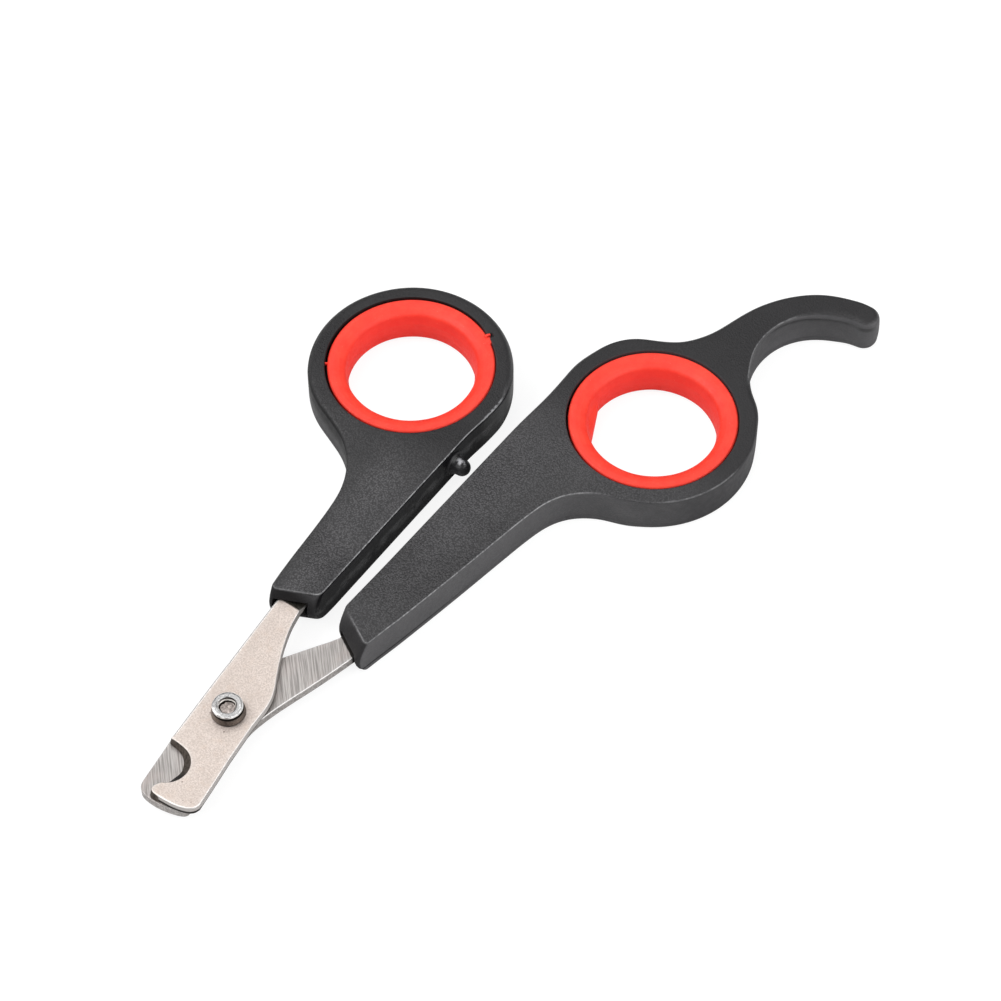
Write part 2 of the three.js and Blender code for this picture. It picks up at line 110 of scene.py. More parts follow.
def corner(before, point, after, radius):
    """Arc that rounds the corner at a point."""
    steps = 9
    before, point, after = (np.array(q, float) for q in (before, point, after))
    back, ahead = unit(before - point), unit(after - point)
    half = math.acos(float(back @ ahead)) / 2
    centre = point + unit(back + ahead) * radius / math.sin(half)
    inset = radius / math.tan(half)
    start = math.atan2(*(point + back * inset - centre)[::-1])
    turn = math.atan2(*(point + ahead * inset - centre)[::-1]) - start
    turn = math.atan2(math.sin(turn), math.cos(turn))
    return [polar(centre, radius, start + turn * i / steps) for i in range(steps + 1)]


def resample(points, spacing):
    """Closed outline with even spacing."""
    points = np.array(points, float)
    points = points[np.linalg.norm(points - np.roll(points, 1, 0), axis=1) > 1e-6]
    loop = np.vstack([points, points[:1]])
    lengths = np.linalg.norm(np.diff(loop, axis=0), axis=1)
    travel = np.concatenate([[0], np.cumsum(lengths)])
    stops = np.linspace(0, travel[-1], int(round(travel[-1] / spacing)), endpoint=False)
    return np.stack([np.interp(stops, travel, loop[:, axis]) for axis in (0, 1)], 1)


def relax(points, weight, times):
    """Smooths a closed outline where weight is 1."""
    points = points.copy()
    weight = np.asarray(weight)[:, None]
    for _ in range(times):
        middle = (np.roll(points, 1, 0) + np.roll(points, -1, 0)) / 2
        points += weight * 0.5 * (middle - points)
    return points


def anticlockwise(points):
    x, y = points[:, 0], points[:, 1]
    area = np.sum(x * np.roll(y, -1) - np.roll(x, -1) * y)
    return points if area > 0 else points[::-1].copy()


def inward(points):
    """Unit normals into an anticlockwise outline."""
    return turned_left(unit_rows(np.roll(points, -1, 0) - np.roll(points, 1, 0)))


def smoothed(values, times):
    """Averages values along a closed outline."""
    values = values.copy()
    for _ in range(times):
        values = 0.5 * values + 0.25 * (np.roll(values, 1, 0) + np.roll(values, -1, 0))
    return values


def inside(outline, points):
    """Which of the points lie in the closed outline."""
    x, y = points[:, 0][:, None], points[:, 1][:, None]
    start, end = outline, np.roll(outline, -1, 0)
    crosses = (start[:, 1] > y) != (end[:, 1] > y)
    with np.errstate(divide="ignore", invalid="ignore"):
        edge_x = ((end[:, 0] - start[:, 0]) * (y - start[:, 1]) / (end[:, 1] - start[:, 1])
                  + start[:, 0])
    return (np.sum(crosses & (x < edge_x), axis=1) % 2) == 1


def within(outlines, points):
    """Inside the first outline and outside the others."""
    kept = inside(outlines[0], points)
    for hole in outlines[1:]:
        kept &= ~inside(hole, points)
    return kept


# ------------------------------------------------------------------ meshes
def link_object(name, mesh):
    ob = bpy.data.objects.new(name, mesh)
    bpy.context.scene.collection.objects.link(ob)
    return ob


def bmesh_object(name, bm):
    mesh = bpy.data.meshes.new(name)
    bm.to_mesh(mesh)
    bm.free()
    return link_object(name, mesh)


def nearest(points, others):
    """Distance from each point to the nearest of the others."""
    return np.min(np.linalg.norm(points[:, None, :] - others[None, :, :], axis=2), axis=1)


class Surface:
    """Collects vertices (mm), faces and the "edge" value of each vertex, which marks polish and
    painted highlights; a negative value marks a wall painted with shade.
    """

    def __init__(self):
        self.points, self.faces, self.edge = [], [], []

    def ring(self, points, edge=0.0):
        first = len(self.points)
        self.points += [tuple(point) for point in points]
        self.edge += list(np.broadcast_to(edge, len(points)))
        return list(range(first, first + len(points)))

    def skin(self, rings, flip=False):
        """Quads between each closed ring and the next."""
        for ring, after in zip(rings[:-1], rings[1:]):
            for i in range(len(ring)):
                j = (i + 1) % len(ring)
                quad = (ring[i], ring[j], after[j], after[i])
                self.faces.append(quad[::-1] if flip else quad)

    def cap(self, loops, up, grid, margin, lines=()):
        """Fills between level closed rings, the outer one first. Extra points on a triangular grid,
        and along the given lines, keep the triangles even."""
        ids = [i for loop in loops for i in loop]
        rim = np.array([self.points[i][:2] for i in ids])
        z = self.points[loops[0][0]][2]
        edges, first = [], 0
        for loop in loops:
            edges += [(first + i, first + (i + 1) % len(loop)) for i in range(len(loop))]
            first += len(loop)
        outlines = [np.array([self.points[i][:2] for i in loop]) for loop in loops]
        low, high = outlines[0].min(0), outlines[0].max(0)
        columns = np.arange(low[0], high[0], grid)
        rows = np.arange(low[1], high[1], grid * 0.866)
        extra = np.array([(x + (grid / 2 if row % 2 else 0), y)
                          for row, y in enumerate(rows) for x in columns])
        if len(lines):
            lines = np.array(lines)
            extra = np.vstack([extra[nearest(extra, lines) > 0.3], lines])
        extra = extra[within(outlines, extra)]
        extra = extra[nearest(extra, rim) > margin]
        ids = ids + self.ring([(x, y, z) for x, y in extra])
        flat = [Vector((float(x), float(y))) for x, y in np.vstack([rim, extra])]
        made, _, triangles, origins, _, _ = geometry.delaunay_2d_cdt(flat, edges, [], 0, 1e-7, True)
        source = [origin[0] if origin else None for origin in origins]
        triangles = [t for t in triangles if len(t) == 3 and all(source[i] is not None for i in t)]
        centres = np.array([[sum(made[i].x for i in t) / 3, sum(made[i].y for i in t) / 3]
                            for t in triangles])
        for triangle, kept in zip(triangles, within(outlines, centres)):
            if kept:                    # the triangulation is anticlockwise throughout
                face = [ids[source[i]] for i in triangle]
                self.faces.append(tuple(face if up else face[::-1]))

    def to_object(self, name):
        mesh = bpy.data.meshes.new(name)
        mesh.from_pydata([(x * MM, y * MM, z * MM) for x, y, z in self.points], [], self.faces)
        mesh.update()
        attribute = mesh.attributes.new("edge", "FLOAT", "POINT")
        attribute.data.foreach_set("value", np.array(self.edge, np.float32))
        return link_object(name, mesh)


def lathe(surface, centre, profile, count, radius=None, height=None):
    """Turns an (r, z) profile round an upright axis; radius/height(angle, r, z) reshape it."""
    rings = []
    angles = np.arange(count) * 2 * math.pi / count
    for r, z in profile:
        reach = np.array([radius(a, r, z) for a in angles]) if radius else np.full(count, r)
        level = np.array([height(a, r, z) for a in angles]) if height else np.full(count, z)
        rings.append(surface.ring(np.stack([
            centre[0] + reach * np.cos(angles), centre[1] + reach * np.sin(angles), level], 1)))
    return rings


def rounded(profile, radii, steps=4, closed=True):
    """Rounds every corner of an (r, z) profile, by one radius or one for each corner."""
    points = [np.array(point, float) for point in profile]
    radii = np.broadcast_to(radii, len(points))
    result = []
    for i, point in enumerate(points):
        if not closed and i in (0, len(points) - 1):
            result.append(tuple(point))
            continue
        back, ahead = points[i - 1] - point, points[(i + 1) % len(points)] - point
        back_length, ahead_length = np.linalg.norm(back), np.linalg.norm(ahead)
        back, ahead = back / back_length, ahead / ahead_length
        cosine = float(np.clip(back @ ahead, -1, 1))
        if cosine < -0.9995:            # the profile runs straight on
            result.append(tuple(point))
            continue
        inset = min(radii[i] / math.tan(math.acos(cosine) / 2),
                    0.47 * back_length, 0.47 * ahead_length)
        start, end = point + back * inset, point + ahead * inset
        for k in range(steps + 1):
            part = k / steps
            result.append(tuple((1 - part) ** 2 * start + 2 * part * (1 - part) * point
                                + part * part * end))
    return result


def boolean(ob, tools, operation):
    """Cuts or joins closed tool meshes and keeps the result as a plain mesh."""
    for tool in tools:
        modifier = ob.modifiers.new("boolean", "BOOLEAN")
        modifier.operation, modifier.solver, modifier.object = operation, "EXACT", tool
    depsgraph = bpy.context.evaluated_depsgraph_get()
    mesh = bpy.data.meshes.new_from_object(ob.evaluated_get(depsgraph))
    ob.modifiers.clear()
    old = ob.data
    ob.data = mesh
    bpy.data.meshes.remove(old)
    for tool in tools:
        bpy.data.objects.remove(tool)
    ob.data.name = ob.name


def prism(outline, low, high, bevel=0.0):
    """Closed prism over a convex outline, used as a tool."""
    bm = bmesh.new()
    bottom, top = ([bm.verts.new((x * MM, y * MM, z * MM)) for x, y in outline]
                   for z in (low, high))
    bm.faces.new(bottom[::-1])
    bm.faces.new(top)
    for i in range(len(bottom)):
        j = (i + 1) % len(bottom)
        bm.faces.new((bottom[i], bottom[j], top[j], top[i]))
    bmesh.ops.recalc_face_normals(bm, faces=bm.faces)
    if bevel:
        bmesh.ops.bevel(bm, geom=bm.edges[:], offset=bevel * MM, segments=3, affect="EDGES",
                        profile=0.5)
    return bmesh_object("tool", bm)


def radial_block(centre, angle, inner, outer, low, high, bevel):
    """Tool that lies along a radius; inner and outer are (radius, half width)."""
    along = np.array([math.cos(angle), math.sin(angle)])
    across = np.array([-math.sin(angle), math.cos(angle)])
    corners = [(inner[0], -inner[1]), (outer[0], -outer[1]), outer, inner]
    outline = [tuple(np.array(centre) + along * r + across * side) for r, side in corners]
    return prism(outline, low, high, bevel)


def recalculate_normals(ob):
    bm = bmesh.new()
    bm.from_mesh(ob.data)
    bmesh.ops.recalc_face_normals(bm, faces=bm.faces)
    bm.to_mesh(ob.data)
    bm.free()


def finish_mesh(ob, sharp_angle=32):
    """Welds, shades smooth with edges sharp beyond the angle, and weights the normals."""
    bm = bmesh.new()
    bm.from_mesh(ob.data)
    bmesh.ops.remove_doubles(bm, verts=bm.verts, dist=1e-8)
    bm.to_mesh(ob.data)
    bm.free()
    ob.data.shade_smooth()
    ob.data.set_sharp_from_angle(angle=math.radians(sharp_angle))
    modifier = ob.modifiers.new("normals", "WEIGHTED_NORMAL")
    modifier.keep_sharp = True
    modifier.weight = 60
    return ob


# ------------------------------------------------------------------ handles
def shell(outline, top_radius, bottom_radius, front, directions, across, slopes, seat, polish_and_highlight,
          dish=0.0, bulge=0.0):
    """Moulded plate with a ring seat. Per outline point: edge radii, a dish in the wall, an outward
    bulge, the top edge's polish and painted highlight, and how much it belongs to the sloping
    front end. The front moves back along two directions, mixed by across; slopes are (depth,
    from z, z span, power)."""
    count = len(outline)
    normals = inward(outline)
    normals = smoothed(normals, 3)
    normals /= np.linalg.norm(normals, axis=1)[:, None]
    lower, upper = directions
    backward = np.array(lower) * (1 - across)[:, None] + np.array(upper) * across[:, None]

    rows = [(top_radius + 0.14, HANDLE_TOP, 0.0)]           # inset, z, polish and painted highlight, from the top down
    for k, shine in enumerate((0.0, 0.12, 0.7, 1.0, 0.7, 0.12, 0.0, 0.0, 0.0)):
        angle = math.pi / 2 * k / 8
        rows.append((top_radius * (1 - math.sin(angle)),
                     HANDLE_TOP - top_radius * (1 - math.cos(angle)), shine))
    wall_top = HANDLE_TOP - top_radius
    for part in (0.12, 0.3, 0.5, 0.7, 0.88):
        z = wall_top + (np.maximum(bottom_radius, PARTING_Z + 0.12) - wall_top) * part
        rows.append((dish * 4 * part * (1 - part), z, 0.0))
    parting = np.maximum(bottom_radius, PARTING_Z)
    rows += [(0.0, parting + 0.07, 0.0), (0.035, parting + 0.03, 0.0), (0.035, parting, 0.0)]
    for k in range(8):
        angle = math.pi / 2 * k / 7
        z = bottom_radius * (1 - math.sin(angle))
        if k == 0:
            z = np.minimum(z, parting - 0.03)
        rows.append((0.02 + bottom_radius * (1 - math.cos(angle)), z, 0.0))
    rows.append((bottom_radius + 0.16, 0.0, 0.0))

    surface = Surface()
    loops = []
    for inset, z, shine in rows:
        inset, z = np.broadcast_to(inset, count), np.broadcast_to(z, count)
        back = sum(depth * np.clip((z - start) / span, 0, 1) ** power
                   for depth, start, span, power in slopes) * front
        points = outline + normals * inset[:, None] + backward * back[:, None]
        swell = bulge * np.sin(math.pi * np.clip(z / HANDLE_TOP, 0, 1))
        points = points - normals * swell[:, None]
        loops.append(surface.ring(np.column_stack([points, z]), shine * polish_and_highlight))
    surface.skin(loops, flip=True)

    # seat for the ring insert, waisted by its rib; radius past the seat's or the rib's, and z
    profile = [(SEAT_RADIUS + past, z) for past, z in [
        (0.3, HANDLE_TOP), (0.16, HANDLE_TOP), (0.07, HANDLE_TOP - 0.025),
        (0.02, HANDLE_TOP - 0.08), (0.0, HANDLE_TOP - 0.17), (0.0, HANDLE_MID + 1.5),
        (0.0, HANDLE_MID + 0.85)]]
    profile += [(RIB_RADIUS + past, HANDLE_MID + rise) for past, rise in [
        (0.06, 0.64), (0.0, 0.5), (0.0, 0.0), (0.0, -0.5), (0.06, -0.64)]]
    profile += [(SEAT_RADIUS + past, z) for past, z in [
        (0.0, HANDLE_MID - 0.85), (0.0, 1.5), (0.0, 0.24), (0.03, 0.11), (0.1, 0.035),
        (0.22, 0.0), (0.34, 0.0)]]
    hole = lathe(surface, seat, profile, 240)
    surface.skin(hole)
    surface.cap([loops[0], hole[0]], up=True, grid=1.6, margin=0.7)
    surface.cap([loops[-1], hole[-1]], up=False, grid=1.6, margin=0.7)
    return surface


def thumb_outline():
    front = [(20.15, 0.75), (17.05, 7.2)]
    ring = arc(THUMB_RING, THUMB_RADIUS, 162, -84)
    # +Y side of the shank, from the front to the ring
    far = [q for q in spline([
        (20.1, 7.62), (24.8, 8.1), (29.5, 8.5), (34, 9), (36.8, 9.5), (39.3, 10.4), (41.8, 11.95),
        (43.9, 14), (45.3, 16.2), (46.15, 18.2), ring[0]]) if q[0] > 19.6]
    near = [(59.5, 0.35), (56, 0.7), (52, 0.75)]            # -Y side, from the ring forwards
    points = (corner(near[2], front[0], front[1], 1.3) + corner(front[0], front[1], far[0], 0.8)
              + far[:-1] + ring + spline([ring[-1]] + near)[1:])
    outline = anticlockwise(resample(points, 0.24))
    return relax(outline, ease(22, 26, outline[:, 0]), 26)


def stop_peg():
    """Round-ended closing stop that points to -Y, with a fillet at its root."""
    x_centre, z_centre, radius, tip_y, count = 52.2, 3.25, 1.26, -1.98, 48
    angles = [math.pi / 2 * k / 12 for k in range(1, 13)]
    profile = [(radius * math.sin(a), tip_y + radius - radius * math.cos(a)) for a in angles]
    profile += [(1.28, -0.45), (1.36, -0.15), (1.5, 0.15), (1.68, 0.4), (1.9, 0.62), (2.2, 0.8),
                (2.2, 1.6), (0.9, 2.4)]                     # radius, y
    bm = bmesh.new()
    tip = bm.verts.new((x_centre * MM, tip_y * MM, z_centre * MM))
    turns = [2 * math.pi * j / count for j in range(count)]
    rings = [[bm.verts.new(((x_centre + r * math.cos(turn)) * MM, y * MM,
                            (z_centre + r * math.sin(turn)) * MM)) for turn in turns]
             for r, y in profile]
    for j in range(count):
        bm.faces.new((tip, rings[0][j], rings[0][(j + 1) % count]))
    for ring, after in zip(rings[:-1], rings[1:]):
        for j in range(count):
            k = (j + 1) % count
            bm.faces.new((ring[j], after[j], after[k], ring[k]))
    bm.faces.new(rings[-1])
    bmesh.ops.recalc_face_normals(bm, faces=bm.faces)
    return bmesh_object("stop", bm)


def thumb_grip():
    outline = thumb_outline()
    x, y = outline[:, 0], outline[:, 1]
    far_side = y > 3.9
    angle = np.degrees(np.arctan2(y - THUMB_RING[1], x - THUMB_RING[0]))
    # crisp edges along the shank, soft ones round the ring
    soft = np.where(far_side, ease(38.5, 46.5, x), ease(61.5, 69, x))
    top = 0.26 + 0.94 * soft + 0.2 * ease(25, 60, angle) * (1 - ease(120, 150, angle)) * soft
    top = np.where(far_side & (x < 52), np.minimum(top, 0.26 + 0.6 * ease(38, 50, x)), top)
    bottom = (0.3 + 0.35 * np.where(far_side, ease(38.5, 46.5, x), ease(56, 64, x))
              + 0.8 * (1 - ease(18.5, 22.5, x)) * (y < 3.0))
    near_wall = (inward(outline)[:, 1] > 0.6) & (y < 3.0)
    polish_and_highlight = np.where(near_wall, 1 - ease(60.5, 67.0, x), 0.0)
    polish_and_highlight = np.where(x < 19.8, 0.22, polish_and_highlight)
    ob = shell(
        outline, smoothed(top, 40), smoothed(bottom, 40),
        front=smoothed(1 - ease(20.6, 27.0, x), 4),
        directions=((1.0, 0.0), (0.995, 0.098)), across=ease(1.4, 6.6, y),
        slopes=((1.15, 3.3, 2.9, 1.7), (1.25, 3.0, -3.0, 2.0)), seat=THUMB_RING,
        polish_and_highlight=np.clip(smoothed(polish_and_highlight, 12), 0, 1)).to_object("grip_thumb")

    slot = prism([(15.5, 1.95), (37.0, 2.7), (37.0, 7.2), (15.5, 6.3)], 2.25, 3.95)
    mouth = prism([(15.0, 1.8), (20.9, 2.0), (20.9, 6.62), (15.0, 6.42)], 2.12, 4.78, 0.18)
    notch = radial_block(THUMB_RING, NOTCH_ANGLE, (11.0, 0.62), (13.2, 0.4),
                         HANDLE_TOP - 0.6, HANDLE_TOP + 1.0, 0.12)
    boolean(ob, [slot, mouth, notch], "DIFFERENCE")
    boolean(ob, [stop_peg()], "UNION")
    return finish_mesh(ob)


REST_TIP, REST_TIP_RADIUS = (107.75, -33.35), 1.75          # end of the curved finger rest


def finger_outline():
    front = [(16.75, -9.0), (20.15, -2.96)]
    shank_top = (31, -3.3)
    ring_top = arc(FINGER_RING, FINGER_RADIUS, 84, 38)
    top = spline([(51.2, -3.72), (62, -3.95), (68, -4.1), (71.5, -4.08), ring_top[0]])
    tip = arc(REST_TIP, REST_TIP_RADIUS, 12, -162, 8)
    rest_outer = spline([
        ring_top[-1], (86.6, -12.1), (87.95, -14.3), (89.5, -15.8), (91.3, -16.9), (93.4, -17.7),
        (95.5, -18.3), (97.8, -19), (99.9, -19.85), (101.8, -20.9), (103.6, -22.15),
        (105.3, -23.7), (106.7, -25.4), (107.9, -27.4), (108.75, -29.6), (109.3, -31.5), tip[0]])
    rest_inner = spline([
        tip[-1], (105.75, -32), (105, -30.1), (104, -28.2), (102.6, -26.5), (100.9, -25.15),
        (99, -24.2), (96.8, -23.65), (94.6, -23.55), (92.3, -23.9), (90.2, -24.7), (88.4, -25.75),
        (86.9, -26.95), (85.75, -28.25), (84.9, -29.35), (83.75, -30.4), (82.4, -31.35)])
    ring_bottom = arc(FINGER_RING, FINGER_RADIUS, -59, -156)
    # -Y side of the shank, from the ring to the front
    shank = [q for q in spline([
        ring_bottom[-1], (59.05, -23.2), (58.4, -21.1), (57.3, -19.05), (55.9, -17.35), (54.1, -16),
        (52, -15.1), (49.9, -14.6), (47.8, -14.2), (43.4, -13.5), (34.5, -12.1), (25.7, -10.6),
        (20.6, -9.7)]) if q[0] > 19.8]
    points = (corner(shank[-1], front[0], front[1], 0.55)
              + corner(front[0], front[1], shank_top, 1.2) + [shank_top] + top + ring_top[1:]
              + rest_outer[1:] + tip[1:] + rest_inner[1:] + ring_bottom[1:] + shank[1:])
    outline = anticlockwise(resample(points, 0.25))
    x, y = outline[:, 0], outline[:, 1]
    held = 1 - 0.85 * (np.hypot(x - REST_TIP[0], y - REST_TIP[1]) < 3.0)
    outline = relax(outline, ease(22, 26, x) * held, 30)
    # swell the rest and the shank's -Y side a little
    x, y = outline[:, 0], outline[:, 1]
    normals = inward(outline)
    below = normals[:, 0] * 0.35 + normals[:, 1] > 0.0
    swell = (ease(86.0, 90.0, x) * np.where(below & (x < 106.3), 0.1, 0.24)
             + 0.08 * ease(104.5, 107.0, x))
    swell = swell + 0.09 * ((y < -6.6) & (x < 60)) * ease(19, 24, x)
    return outline - normals * smoothed(swell, 30)[:, None]


def finger_grip():
    outline = finger_outline()
    x, y = outline[:, 0], outline[:, 1]
    normals = inward(outline)
    angle = np.degrees(np.arctan2(y - FINGER_RING[1], x - FINGER_RING[0]))
    upper = y > -6.6
    shank = (~upper) & (x < 60)         # its -Y side
    ring_distance = np.hypot(x - FINGER_RING[0], y - FINGER_RING[1])
    on_ring = (ring_distance < FINGER_RADIUS + 0.8) & (x > 59)
    ring_low = on_ring & (y < -9)
    rest = (x > 84.0) & ~on_ring
    inner = rest & (normals[:, 0] * 0.35 + normals[:, 1] > 0.0) & (y < -22.5)
    near_tip = np.hypot(x - REST_TIP[0], y - REST_TIP[1]) < 2.6

    # crisp along the shank, softer round its neck, the ring and the rest's outer side
    top = np.where(shank, 0.26 + 0.25 * ease(54.5, 59.5, x), 0.26)
    top = np.where(upper & (x < 80), 0.26 + 0.8 * ease(60, 70, x), top)
    top = np.where(ring_low, 0.36 + 0.74 * ease(-72, -22, angle), top)
    top = np.where(rest & ~inner, 0.85, top)
    # the rest's inner side is crisp in the middle and soft at both ends
    top = np.where(inner, 0.3 + 0.8 * ease(100.0, 105.5, x) + 0.7 * (1 - ease(84.5, 88.0, x)), top)
    top = np.where(near_tip, 0.95, top)
    bottom = np.where(x > 60, 0.6, 0.28)
    bottom = np.where(inner, 0.4, bottom)
    bottom = np.where(near_tip, 1.0, bottom)
    polish_and_highlight = np.where(shank & (x > 19.0), 0.8 * (1 - ease(55.0, 59.0, x)), 0.0)
    polish_and_highlight = np.where(ring_low & (x > 62.0) & (x < 72.5), 0.3, polish_and_highlight)
    polish_and_highlight = np.where(inner & (x > 87.0), 0.45 * (1 - ease(99.0, 102.5, x)), polish_and_highlight)
    polish_and_highlight = np.where(x < 19.0, 0.3, polish_and_highlight)
    ob = shell(
        outline, smoothed(top, 60), smoothed(bottom, 90),
        front=smoothed(1 - ease(20.8, 27.5, x), 4),
        directions=((0.985, -0.172), (0.9995, -0.03)), across=ease(-8.4, -3.6, y),
        slopes=((1.65, 3.2, 3.0, 1.45), (1.2, 2.6, -2.6, 2.0)), seat=FINGER_RING,
        polish_and_highlight=np.clip(smoothed(polish_and_highlight, 12), 0, 1),
        dish=smoothed(np.where(inner & ~near_tip & (x > 87), 0.6, 0.0), 100),
        bulge=smoothed(np.where(near_tip, 0.22, 0.0), 14)).to_object("grip_finger")

    # pocket: a close mouth round the blade, then room for the tang's step
    mouth = prism([(14.5, -7.42), (23.0, -8.74), (23.4, -4.7), (19.2, -3.8), (17.4, -3.1)],
                  1.4, 3.62, 0.1)
    room = prism([(21.2, -8.42), (30.0, -9.8), (30.6, -5.7), (21.6, -4.45)], 1.5, 3.95)
    slot = prism([(21.0, -8.4), (41.0, -11.55), (41.6, -6.9), (21.4, -4.4)], 2.25, 3.95)
    boolean(ob, [mouth, room, slot], "DIFFERENCE")
    return finish_mesh(ob)


# ------------------------------------------------------------------ ring inserts
# Section of an insert, run round from the bore: radius, height above the rib's middle, rounding.
LINER_SECTION = [
    (9.24, 0.5, 1.6), (9.62, 2.2, 2.2), (10.5, 2.68, 1.0), (11.2, 2.84, 0.9), (11.98, 2.84, 0.2),
    (12.22, 2.62, 0.2), (12.22, 1.0, 0.05), (11.6, 0.725, 0.05), (11.6, -0.725, 0.05),
    (12.22, -1.0, 0.05), (12.22, -2.5, 0.2), (12.0, -2.75, 0.2), (10.95, -2.77, 0.3),
    (10.1, -2.77, 0.3), (9.72, -2.77, 0.3), (9.4, -2.55, 0.25)]


def liner(name, centre, thumb):
    profile = rounded([(r, z) for r, z, _ in LINER_SECTION], [size for *_, size in LINER_SECTION], 7)
    # extra points down the bore keep its faces even
    profile += [(9.19 + 0.2 * ((z + 0.35) / 2.0) ** 2, z) for z in np.linspace(-2.05, -0.2, 8)]
    profile = [(r, z + HANDLE_MID) for r, z in profile]
    seed = 3.0 if thumb else 7.0

    def radius(angle, r, z):
        place = Vector((math.cos(angle) * 2.2 + seed, math.sin(angle) * 2.2, z * 0.25))
        wobble = 0.035 * noise.noise(place)
        result = r + (wobble if r < 11.2 else 0.0)
        if not thumb:
            # short straight run low in the bore
            toward = math.cos(angle - math.radians(115.8))
            low = float(1 - ease(3.0, 4.2, z))
            if toward > 0.8 and r < 10.4:
                chord = 8.53 / toward + (r - 9.33)
                result += min(0.0, chord - result) * low
        return result

    def height(angle, r, z):
        if z > HANDLE_MID + 1.8:
            place = Vector((math.cos(angle) * 1.7 + seed, math.sin(angle) * 1.7, 4.0))
            return z + 0.03 * noise.noise(place)
        return z

    surface = Surface()
    off_centre = (centre[0] + 0.17, centre[1] - 0.02)       # not quite central in the seat
    rings = lathe(surface, off_centre, profile, 240, radius, height)
    surface.skin(rings + rings[:1], flip=True)
    ob = surface.to_object(name)
    recalculate_normals(ob)
    if thumb:
        # nib of two blocks in the seat's notch, and a small one on the other side
        nibs = [(NOTCH_ANGLE + 0.028, (11.9, 0.21), (12.86, 0.21), 5.5, 6.16, 0.14),
                (NOTCH_ANGLE - 0.05, (11.4, 0.625), (12.66, 0.625), 5.4, 6.04, 0.22),
                (math.radians(124.2), (12.0, 0.13), (12.5, 0.13), 5.5, 6.0, 0.08)]
        boolean(ob, [radial_block(centre, *nib) for nib in nibs], "UNION")
    return finish_mesh(ob, 38)


# ------------------------------------------------------------------ blades
def blade_outline(points):
    """Drops doubled points and divides long runs; anticlockwise."""
    kept = [points[0]]
    for point in points[1:]:
        if math.hypot(point[0] - kept[-1][0], point[1] - kept[-1][1]) > 0.03:
            kept.append(point)
    if math.hypot(kept[0][0] - kept[-1][0], kept[0][1] - kept[-1][1]) < 0.03:
        kept.pop()
    dense = []
    for start, end in zip(kept, kept[1:] + kept[:1]):
        run, rise = end[0] - start[0], end[1] - start[1]
        length = math.hypot(run, rise)
        count = max(1, int(length / 0.6))
        for i in range(count):          # a hair's crown, so that no three neighbours are in line
            part = i / count
            crown = (0.002 + 0.0012 * length) * 4 * part * (1 - part)
            dense.append((start[0] + run * part + -rise / length * crown,
                          start[1] + rise * part + run / length * crown))
    return anticlockwise(np.array(dense, float))


NOTCH = (-11.2, 1.55)                   # centre of the upper blade's round notch
UPPER = blade_outline(
    spline([(-13.9, -6.05), (-14.55, -5.85), (-15.1, -5.35), (-15.6, -4.2), (-15.9, -2.8),
            (-16.02, -1.2), (-16.02, -0.1), (-15.9, 0.45), (-15.55, 0.78), (-15.1, 0.82),
            (-14.6, 0.66), (-14.25, 0.42)], 0.3)
    + arc(NOTCH, 3.12, 204, 352, 4)
    + spline([(-8.06, 1.3), (-8.0, 2.0), (-7.95, 2.8), (-7.98, 3.6)], 0.3)
    + [(0, 4.42), (8, 5.12), (16, 5.85), (18.4, 6.08), (20.2, 6.13), (35.8, 6.85), (36.5, 6.3),
       (36.5, 3.5), (35.9, 3.02), (20.2, 2.5)]
    + spline([(18.4, 2.3), (16, 1.75), (14, 1.05), (12, 0.2), (10, -0.8), (8, -1.9), (6.4, -2.82),
              (5, -3.4), (3.6, -3.72), (2, -3.87), (0, -4.0)], 0.3)
    + [(-6, -4.8), (-11, -5.62)])
LOWER = blade_outline(
    spline([(-14.75, 3.07), (-15.2, 2.96), (-15.6, 2.74), (-15.98, 2.35), (-16.25, 1.75),
            (-16.38, 0.8), (-16.35, -0.7), (-16.0, -2.6), (-15.55, -3.9), (-15.1, -4.55),
            (-14.65, -4.72), (-14.3, -4.6)], 0.3)
    + arc((-11.2, -4.1), 3.0, 187.5, -1, 4)
    + [(-6, -3.95)]
    + spline([(-3, -3.7), (0, -3.55), (2.4, -3.85), (4.9, -4.4), (7.8, -5.2), (10.9, -6.1),
              (14, -6.92), (17.2, -7.7)], 0.3)
    + [(20, -8.3), (39.6, -11.3), (40.3, -10.9), (40.8, -7.5), (40.3, -7), (21.4, -4.6),
       (18.9, -4.25)]
    + spline([(17.2, -3.3), (15.4, -2.15), (11.9, 0), (8, 2.3), (4, 3.7), (0, 4.3), (-4, 4.45),
              (-7.1, 4.2)], 0.3))


